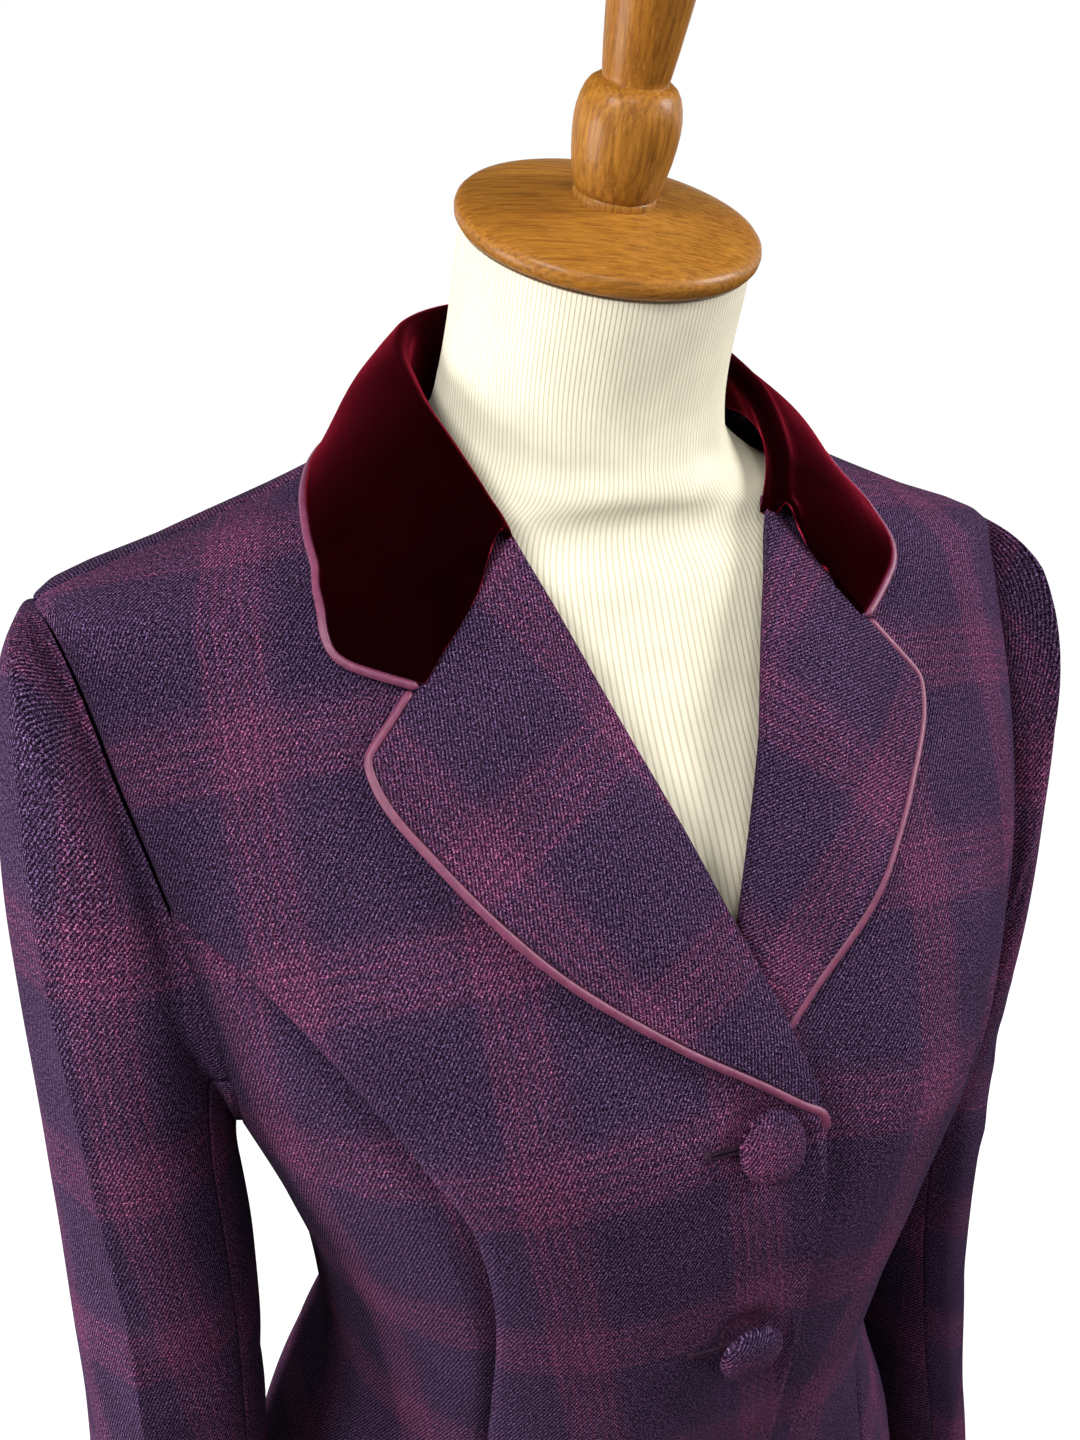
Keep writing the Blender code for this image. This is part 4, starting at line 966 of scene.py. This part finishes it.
sleeve = {
    "wall": 0.0017, "ropedHead": 0.004, "rings": 18, "perRing": 7, "spacing": 1.25,
    "frontSeam": 121.8, "backSeam": -102.4, "seamShare": 0.25, "columns": {"upper": 104, "under": 56},
    "length": 0.60, "degree": 0.00095, "seamDegree": 0.0010,    # cloth to a degree of turn, near enough
    "waver": 0.0008, "creaseSoft": (0.2, 0.5), "easeIn": 0.10,
    "sewnIn": (0.25, 0.0006, -0.0006), "headIn": (1.2, 0.002),    # inside the armhole: degrees, metres, lift
    "ridgeWidth": 0.0075, "hollow": (0.45, 0.018, 0.014),    # beside the ridge: its share, how far, how wide
    "grain": ((0.5, 0.45), (0.5, 0.95)),    # shares across and down of the line that hangs straight
    "anchor": (0.72, 0.33), "check": (0.0099, -0.027), "lean": 9.5,    # its spot of the plaid and the lean
    "hang": {    # share down, shift of the outer and inner edge away from the body, and backwards
        "right": [(0.00, 0.0000, 0.0000, 0), (0.06, 0.0000, 0.0000, 0), (0.14, 0.0005, 0.0000, 0),
                  (0.26, 0.0040, 0.0005, 0), (0.44, 0.0045, 0.0010, 0), (0.58, 0.0045, 0.0010, 0),
                  (0.70, 0.0040, 0.0010, 0), (0.84, 0.0030, 0.0010, 0), (1.00, 0.0020, 0.0010, 0)],
        "left": [(0.00, 0.0000, 0.0000, 0.0000), (0.06, -0.0050, 0.0000, 0.0000),
                 (0.14, -0.0130, 0.0000, 0.0000), (0.26, -0.0195, -0.0010, 0.0012),
                 (0.44, -0.0245, -0.0020, 0.0055), (0.58, -0.0270, -0.0020, 0.0080),
                 (0.70, -0.0295, -0.0020, 0.0090), (0.84, -0.0310, -0.0020, 0.0100),
                 (1.00, -0.0250, -0.0020, 0.0100)]},
    "sections": [    # share down, outer x and drop, inner x and drop, depth, centre y, squareness
        (0.00, 0.1940, 0.0510, 0.1500, 0.2470, 0.0625, 0.0050, 2.00),
        (0.05, 0.2050, 0.0560, 0.1500, 0.2490, 0.0650, 0.0050, 2.00),
        (0.11, 0.2115, 0.0740, 0.1505, 0.2515, 0.0670, 0.0045, 2.05),
        (0.18, 0.2145, 0.1060, 0.1510, 0.2560, 0.0685, 0.0030, 2.10),
        (0.26, 0.2155, 0.1510, 0.1505, 0.2640, 0.0690, 0.0010, 2.15),
        (0.34, 0.2150, 0.2050, 0.1490, 0.2790, 0.0690, 0.0000, 2.20),
        (0.44, 0.2145, 0.2650, 0.1480, 0.3050, 0.0680, 0.0000, 2.25),
        (0.58, 0.2150, 0.3550, 0.1500, 0.3700, 0.0660, -0.0030, 2.30),
        (0.70, 0.2190, 0.4350, 0.1580, 0.4450, 0.0635, -0.0090, 2.30),
        (0.84, 0.2310, 0.5250, 0.1720, 0.5330, 0.0590, -0.0190, 2.30),
        (1.00, 0.2390, 0.6300, 0.1810, 0.6340, 0.0530, -0.0310, 2.30)],
    "ridge": [    # share down, turn, height
        (0.00, 18.0, 0.0000), (0.08, 26.0, 0.0012), (0.20, 42.0, 0.0030), (0.34, 56.0, 0.0038),
        (0.50, 65.0, 0.0036), (0.70, 70.0, 0.0030), (1.00, 74.0, 0.0020)],
    # soft troughs and ridges: turn and share at both ends, half width, depth
    "creases": [
        ((40, 0.43), (112, 0.50), 0.010, -0.0024), ((58, 0.52), (118, 0.50), 0.009, 0.0016),
        ((30, 0.60), (104, 0.545), 0.011, -0.0028), ((48, 0.66), (120, 0.62), 0.010, -0.0018),
        ((-30, 0.50), (-96, 0.55), 0.012, -0.0026), ((-18, 0.585), (-92, 0.60), 0.012, 0.0018),
        ((-36, 0.67), (-98, 0.64), 0.011, -0.0022), ((84, 0.17), (112, 0.27), 0.010, -0.0016),
        ((-70, 0.14), (-98, 0.27), 0.011, -0.0018), ((20, 0.80), (84, 0.77), 0.012, -0.0016),
        ((-24, 0.86), (-80, 0.83), 0.013, -0.0018), ((146, 0.42), (210, 0.47), 0.012, -0.0024),
        ((140, 0.56), (226, 0.53), 0.012, -0.0026), ((150, 0.70), (230, 0.72), 0.013, -0.0020)],
}
sleeveSection = curveThrough(sleeve["sections"])
sleeveRidge = curveThrough(sleeve["ridge"])
sleeveHang = {end: curveThrough(rows) for end, rows in sleeve["hang"].items()}


def ringShare(k):
    return (k / sleeve["rings"]) ** sleeve["spacing"]


def sleevePoint(turn, along, end):
    outX, outDrop, inX, inDrop, deep, centre, square = sleeveSection(round(along, 6))
    outShift, inShift, backShift = sleeveHang[end](round(along, 6))
    outer = Vector((outX + outShift, centre + backShift, body["neckHeight"] - outDrop))
    inner = Vector((inX + inShift, centre + backShift, body["neckHeight"] - inDrop))
    across, depth = cosine(turn), sine(turn)
    point = (outer + inner) / 2 + (outer - inner) / 2 * bowed(across, 2 / square)
    point.y -= deep * bowed(depth, 2 / square)
    return point


def sleeveRing(k, turn, end):
    if k == 0:    # sewn into the armhole
        degrees, inset, lift = sleeve["sewnIn"]
        return onBody(armholeAngle(turn, degrees), armholeDrop(turn, inset), lift)
    if k == 1:
        high = ease(0.75 + 0.5 * cosine(turn))    # roped over the shoulder, flat under the arm
        lift = sleeve["ropedHead"] * mix(0.3, 1.0, high)
        degrees, inset = sleeve["headIn"]
        return onBody(armholeAngle(turn, degrees), armholeDrop(turn, inset), lift)
    return sleevePoint(turn, ringShare(k), end)


def sleeveLift(turn, along, side):
    ridgeTurn, height = sleeveRidge(round(along, 5))
    degree, length = sleeve["degree"], sleeve["length"]
    away = (turn - ridgeTurn) * degree
    lift = height * math.exp(-abs(away) / sleeve["ridgeWidth"])
    share, aside, wide = sleeve["hollow"]
    lift -= share * height * math.exp(-((away + aside) / wide) ** 2)
    for n, (start, end, width, depth) in enumerate(sleeve["creases"]):
        if (n + (side > 0)) % 4 == 3:
            continue
        a, b = (Vector((at * degree, down * length)) for at, down in (start, end))
        spot = Vector((turn * degree, along * length + 0.010 * math.sin(5 * n + side)))
        strength = 0.75 if side < 0 else 0.40 + 0.3 * math.sin(2 * n)
        lift += pressed(spot, a, b, width, depth, sleeve["creaseSoft"]) * strength
    return lift + sleeve["waver"] * noise.noise(Vector((turn * 0.02, along * 9, side * 3)))


def buildSleeve(end, side, half):
    first, last = sleeve["backSeam"], sleeve["frontSeam"]
    if half == "under":
        first, last = last, first + 360
    columns, rows = sleeve["columns"][half], sleeve["rings"] * sleeve["perRing"]
    turns = steps(first, last, columns)
    rings = range(sleeve["rings"] + 1)
    lines = [[sleeveRing(k, turn, end) for k in rings] for turn in turns]
    middles = [(sleevePoint(0, ringShare(k), end) + sleevePoint(180, ringShare(k), end)) / 2 for k in rings]

    def place(i, j):
        along = (j / rows) ** sleeve["spacing"]
        point = splineAt(lines[i], j / rows)
        out = point - splineAt(middles, j / rows)
        out.z *= 0.4
        toSeam = min(i, columns - i) / columns * (last - first) * sleeve["seamDegree"]
        lift = sleeveLift(turns[i], along, side) + sleeve["seamShare"] * seamDip(toSeam)
        return mirrored(point + out.normalized() * (lift * ease(j / rows / sleeve["easeIn"])), side)

    def core(point):
        share = min(max((body["neckHeight"] - 0.15 - point.z) / 0.48, 0.0), 1.0)
        return mirrored(splineAt(middles, share ** 0.8), side)

    bm = shapedGrid(columns, rows, place, core)
    piece = clothPiece("sleeve" + half.title() + end.title(), bm, "sleeve_%s_%s" % (half, end))
    marks = (*sleeve["grain"], sleeve["anchor"])
    upper, lower, anchor = ((round(share * columns), round(down * rows)) for share, down in marks)
    u, v = sleeve["check"]
    cut = layOut(piece, columns, upper, lower, anchor, (u * side, v), sleeve["lean"] * side)
    thicken(piece, sleeve["wall"], even=False)
    return piece, cut


for end, side in sides.items():
    for half in ("upper", "under"):
        key = "sleeve" + half + end
        pieces[key], cuts[key] = buildSleeve(end, side, half)
print("sleeves hung")


# Covered buttons and their keyhole buttonholes

buttonhole = {
    "start": -0.0250, "end": 0.006, "halfWidth": 0.0011, "eye": 0.0024, "stitch": 0.00055, "thread": 0.00022,
    "stitchLifts": (0.00035, 0.00062, 0.00006),    # at the slit, over the lip and at the outer end
    "tackCount": 7, "tackStep": 0.0003, "tackBack": 0.0009, "tackHalf": 0.0021, "tackLifts": (0.0002, 0.0008),
    "slitSteps": 30, "slitHalf": 0.0005, "slitLift": 0.00022, "slitWall": 0.0002,
}


def buildButton(number, drop):
    profile = [(r * button["radius"], h * button["height"]) for r, h in button["profile"]]
    bm = spunProfile(profile, button["steps"])
    layer = bm.loops.layers.uv.new("cloth")
    u, v = button["weaveAt"][number - 1]
    stretch = button["weaveStretch"]
    for face in bm.faces:
        for loop in face.loops:
            loop[layer].uv = (u + loop.vert.co.x * stretch, v + loop.vert.co.y * stretch)
    angle = angleAt(button["reach"], drop)
    turn = bodyNormal(angle, drop).to_track_quat("Z", "Y").to_matrix().to_4x4()
    place = Matrix.Translation(onBody(angle, drop, button["clearance"])) @ turn
    bmesh.ops.transform(bm, matrix=place, verts=bm.verts)
    name = "coveredButton%d" % number
    return addPiece(name, meshFrom(bm, name, 60), "plaid", ["button_%d" % number])


def holeOutline():
    # along one lip from the bar to the eye, round it and back: reach, drop and the way out of the slit
    start, eye = buttonhole["start"], buttonhole["eye"]
    eyeX = buttonhole["end"] - eye
    lips = [(x, -0.0003, 0.0, -1.0) for x in steps(start, eyeX, int((eyeX - start) / buttonhole["stitch"]))]
    for turn in steps(-90, 90, 14):
        c, s = cosine(turn), sine(turn)
        lips.append((eyeX + eye * 0.6 * c, eye * 0.45 * s, c, s))
    return lips + [(x, -y, a, -b) for x, y, a, b in reversed(lips) if b < -0.99 and x < eyeX]


def stitchLine(spot):
    # one thread over and over the lips, then across the closed end
    inner, top, outer = buttonhole["stitchLifts"]
    points = []
    for k, (x, y, a, b) in enumerate(holeOutline()):
        far = buttonhole["halfWidth"] * (1.0 + 0.10 * math.sin(k * 2.3))
        points += [spot(x, y, inner), spot(x + a * far * 0.5, y + b * far * 0.5, top),
                   spot(x + a * far, y + b * far, outer)]
    half, (low, high) = buttonhole["tackHalf"], buttonhole["tackLifts"]
    for k in range(buttonhole["tackCount"]):
        x = buttonhole["start"] - buttonhole["tackBack"] + buttonhole["tackStep"] * k
        points += [spot(x, -half, low), spot(x, 0.0, high), spot(x, half, low)]
    return points


def threadMesh(points):
    curve = bpy.data.curves.new("buttonhole", "CURVE")
    curve.dimensions = "3D"
    curve.bevel_depth = buttonhole["thread"]
    curve.bevel_resolution = 1
    line = curve.splines.new("POLY")
    line.points.add(len(points) - 1)
    for knot, point in zip(line.points, points):
        knot.co = (*point, 1.0)
    holder = bpy.data.objects.new("buttonholeLine", curve)
    bpy.context.collection.objects.link(holder)
    mesh = bpy.data.meshes.new_from_object(holder.evaluated_get(bpy.context.evaluated_depsgraph_get()))
    bpy.data.objects.remove(holder)
    mesh.materials.clear()
    return mesh


def buildButtonhole(number, drop):
    def spot(x, y, lift):
        return onBody(angleAt(x, drop + y), drop + y, lift)

    def place(i, j):
        x = buttonhole["start"] + (buttonhole["end"] - buttonhole["start"]) * i / buttonhole["slitSteps"]
        return spot(x, (j - 1) * buttonhole["slitHalf"], buttonhole["slitLift"])

    stitches = addPiece("buttonholeStitches%d" % number, threadMesh(stitchLine(spot)), "thread")
    # the slit is a thin near-black sheet on the front, painted shade of the opening
    name = "buttonholeSlit%d" % number
    bm = shapedGrid(buttonhole["slitSteps"], 2, place, bodyCore)
    slit = addPiece(name, meshFrom(bm, name), "slit")
    thicken(slit, buttonhole["slitWall"])
    return stitches, slit


for number, drop in enumerate(button["drops"], 1):
    buildButton(number, drop)
    buildButtonhole(number, drop)
print("buttons sewn on")


# Padded form under the jacket, its jersey ribbed up the neck

form = {
    "bottomDrop": 0.612, "steps": (150, 170), "spacing": 1.4,
    "rings": [    # drop, centre y, half width, front, back, tilt, squareness
        (-0.0634, -0.0101, 0.0500, 0.0500, 0.0500, 22, 2.0),
        (-0.0350, 0.0013, 0.0505, 0.0515, 0.0505, 22, 2.0),
        (-0.0060, 0.0120, 0.0540, 0.0570, 0.0490, 14, 2.0), (0.0130, 0.0170, 0.0740, 0.0620, 0.0500, 6, 2.0),
        (0.0290, 0.0220, 0.1160, 0.0630, 0.0570, 0, 2.0), (0.0490, 0.0250, 0.1680, 0.0750, 0.0680, 0, 2.1),
        (0.0850, 0.0200, 0.1640, 0.0870, 0.0880, 0, 2.2), (0.1300, 0.0110, 0.1540, 0.1060, 0.1050, 0, 2.3),
        (0.1800, 0.0040, 0.1470, 0.1230, 0.1120, 0, 2.3), (0.2250, 0.0000, 0.1400, 0.1310, 0.1090, 0, 2.3),
        (0.2800, 0.0000, 0.1250, 0.1270, 0.1010, 0, 2.3), (0.3300, 0.0000, 0.1120, 0.1150, 0.0920, 0, 2.2),
        (0.3760, 0.0000, 0.1080, 0.1060, 0.0870, 0, 2.2), (0.4200, 0.0030, 0.1190, 0.1080, 0.0970, 0, 2.2),
        (0.4800, 0.0060, 0.1390, 0.1170, 0.1160, 0, 2.2), (0.5600, 0.0080, 0.1530, 0.1270, 0.1330, 0, 2.2),
        (0.6120, 0.0080, 0.1510, 0.1260, 0.1320, 0, 2.2)],
}
formRing = curveThrough(form["rings"])


def formPoint(angle, drop):
    centre, half, front, back, tilt, square = formRing(round(drop, 6))
    across, along = sine(angle), cosine(angle)
    depth = front if along > 0 else back
    flat = Vector((half * bowed(across, 2 / square), -depth * bowed(along, 2 / square), 0.0))
    turned = Matrix.Rotation(math.radians(tilt), 3, "X") @ flat
    return turned + Vector((0.0, centre, body["neckHeight"] - drop))


def buildForm():
    around, down = form["steps"]
    top, bottom = form["rings"][0][0], form["bottomDrop"]
    drops = [mix(top, bottom, (k / down) ** form["spacing"]) for k in range(down + 1)]

    def place(i, j):
        angle = -180 + 360 * i / around
        girth = (formRing(round(drops[j], 6))[1] + formRing(round(drops[j], 6))[2]) / 2
        return formPoint(angle, drops[j]), (math.radians(angle) * girth, drops[j])

    bm = wrappedGrid(around, down, place)
    return addPiece("jerseyForm", meshFrom(bm, "jerseyForm"), "jersey", ["form_torso"])


pieces["form"] = buildForm()
print("form covered")


# Turned wood: neck cap, finial, pole and foot

turnery = {
    "neckTilt": 22.0, "capCentre": (0.0, -0.012, 0.868), "capCrown": 0.0085, "seam": 0.0003, "steps": 112,
    # radius and height down each piece; the pole's height is a share of its length
    "cap": [(0.0, 0.0088), (0.0145, 0.0088), (0.0165, 0.0083), (0.0230, 0.0077), (0.0330, 0.0066),
            (0.0420, 0.0053), (0.0480, 0.0041), (0.0506, 0.0031), (0.0519, 0.0018), (0.0524, 0.0),
            (0.0521, -0.0020), (0.0510, -0.0036), (0.0490, -0.0042), (0.0, -0.0042)],
    "finial": [(0.0, 0.1210), (0.0040, 0.1207), (0.0078, 0.1195), (0.0112, 0.1170), (0.0139, 0.1135),
               (0.0157, 0.1090), (0.0165, 0.1035), (0.0163, 0.0960), (0.0156, 0.0850), (0.0146, 0.0720),
               (0.0134, 0.0590), (0.0121, 0.0470), (0.0111, 0.0392), (0.0107, 0.0374), (0.0109, 0.0370),
               (0.0124, 0.0367), (0.0141, 0.0355), (0.0155, 0.0335), (0.0166, 0.0305), (0.0173, 0.0270),
               (0.0175, 0.0235), (0.0173, 0.0190), (0.0167, 0.0140), (0.0158, 0.0090), (0.0148, 0.0048),
               (0.0141, 0.0030), (0.0137, 0.0025), (0.0141, 0.0020), (0.0141, 0.0), (0.0, 0.0)],
    "pole": [(0.0, 1.0), (0.0195, 1.0), (0.0200, 0.99), (0.0200, 0.945), (0.0185, 0.935), (0.0150, 0.91),
             (0.0142, 0.895), (0.0160, 0.875), (0.0182, 0.85), (0.0190, 0.82), (0.0182, 0.79),
             (0.0160, 0.765), (0.0142, 0.742), (0.0146, 0.65), (0.0152, 0.50), (0.0160, 0.34),
             (0.0175, 0.22), (0.0205, 0.15), (0.0235, 0.105), (0.0240, 0.08), (0.0240, 0.0), (0.0, 0.0)],
    "base": [(0.0, 0.0320), (0.0330, 0.0320), (0.0370, 0.0312), (0.0700, 0.0286), (0.1100, 0.0262),
             (0.1320, 0.0249), (0.1440, 0.0234), (0.1540, 0.0213), (0.1610, 0.0180), (0.1645, 0.0140),
             (0.1650, 0.0100), (0.1645, 0.0050), (0.1625, 0.0010), (0.1610, 0.0), (0.0, 0.0)],
    "baseHeight": 0.032, "formBottom": 0.188,
}


def turnedPiece(name, profile, finish, place, node):
    bm = spunProfile(profile, turnery["steps"])
    bmesh.ops.transform(bm, matrix=place, verts=bm.verts)
    return addPiece(name, meshFrom(bm, name, 50), finish, [node])


def buildTurnery():
    tilt = Matrix.Rotation(math.radians(turnery["neckTilt"]), 4, "X")
    lean = Matrix.Translation(turnery["capCentre"]) @ tilt
    raised = lean @ Matrix.Translation((0, 0, turnery["capCrown"] + turnery["seam"]))
    foot = turnery["baseHeight"] + turnery["seam"]
    length = turnery["formBottom"] - turnery["seam"] - foot
    pole = [(r, h * length) for r, h in turnery["pole"]]
    turnedPiece("neckCap", turnery["cap"], "capWood", lean, "neck_cap")
    turnedPiece("finialTurned", turnery["finial"], "finialWood", raised, "finial")
    turnedPiece("standPole", pole, "wood", Matrix.Translation((0, 0, foot)), "stand_pole")
    turnedPiece("standBase", turnery["base"], "capWood", Matrix.Identity(4), "stand_base")


buildTurnery()
print("wood turned")


# Every sheet of cloth and the size it was cut to

for key, (width, length, area) in cuts.items():
    print("cut", key, "%.3f x %.3f m, %.4f m2" % (width, length, area))


# Pale floor and soft studio light

studio = {
    "floor": 12.0, "glow": 1.02,
    "room": 0.05, "sweep": 1.0, "sweepEnds": (0.15, 0.42),    # light overhead, and of the pale wall all round
    "lamps": [    # name, place, aim, size, watts, spread in degrees
        ("keySoftbox", (-0.90, -0.60, 1.46), (-0.05, 0, 0.72), 0.5, 15, 180),
        ("sleeveSoftbox", (-1.35, 0.18, 0.46), (-0.24, 0, 0.32), 0.9, 10, 110),
        ("fillSoftbox", (1.20, -0.60, 1.48), (0.05, 0, 0.75), 0.7, 26, 180),
        ("frontSoftbox", (-0.25, -1.00, 1.72), (0, 0, 0.82), 0.5, 5, 180)],
}


def layFloor():
    bm = bmesh.new()
    bmesh.ops.create_grid(bm, x_segments=1, y_segments=1, size=studio["floor"])
    floor = bpy.data.objects.new("studioFloor", meshFrom(bm, "studioFloor"))
    bpy.context.collection.objects.link(floor)
    w = Wiring("paleFloor")
    color = w.blend(w.grain(w.spot(), 3.0), (0.13, 0.13, 0.13, 1), (0.14, 0.14, 0.14, 1))
    glow = {"Emission_Color": (1, 1, 1, 1), "Emission_Strength": studio["glow"]}
    floor.data.materials.append(w.finish(color, Roughness=0.9, Specular_IOR_Level=0.0, **glow))
    onlyFloor = bpy.data.collections.new("onlyFloor")    # its glow keeps it pale and leaves the cloth alone
    onlyFloor.objects.link(floor)
    floor.light_linking.receiver_collection = onlyFloor


def hangLamp(name, place, aim, size, watts, spread):
    lamp = bpy.data.lights.new(name, "AREA")
    lamp.shape = "DISK"
    lamp.size = size
    lamp.energy = watts
    lamp.spread = math.radians(spread)
    holder = bpy.data.objects.new(name, lamp)
    holder.location = place
    holder.rotation_euler = (Vector(aim) - Vector(place)).to_track_quat("-Z", "Y").to_euler()
    bpy.context.collection.objects.link(holder)


def paintRoom():
    # bright near the horizon, dim above and below
    world = bpy.data.worlds.new("paleStudio")
    world.use_nodes = True
    nodes, links = world.node_tree.nodes, world.node_tree.links
    way = nodes.new("ShaderNodeSeparateXYZ")
    links.new(nodes.new("ShaderNodeTexCoord").outputs["Generated"], way.inputs[0])
    height = nodes.new("ShaderNodeMath")
    height.operation = "ABSOLUTE"
    links.new(way.outputs[2], height.inputs[0])
    sweep = nodes.new("ShaderNodeMapRange")
    sweep.interpolation_type = "SMOOTHSTEP"
    for key, value in enumerate((*studio["sweepEnds"], studio["sweep"], studio["room"]), 1):
        sweep.inputs[key].default_value = value
    links.new(height.outputs[0], sweep.inputs[0])
    links.new(sweep.outputs[0], nodes["Background"].inputs[1])
    nodes["Background"].inputs[0].default_value = (1.0, 1.0, 1.0, 1)
    bpy.context.scene.world = world


layFloor()
for lamp in studio["lamps"]:
    hangLamp(*lamp)
paintRoom()
bpy.context.scene.view_settings.view_transform = "Standard"
print("studio lit")
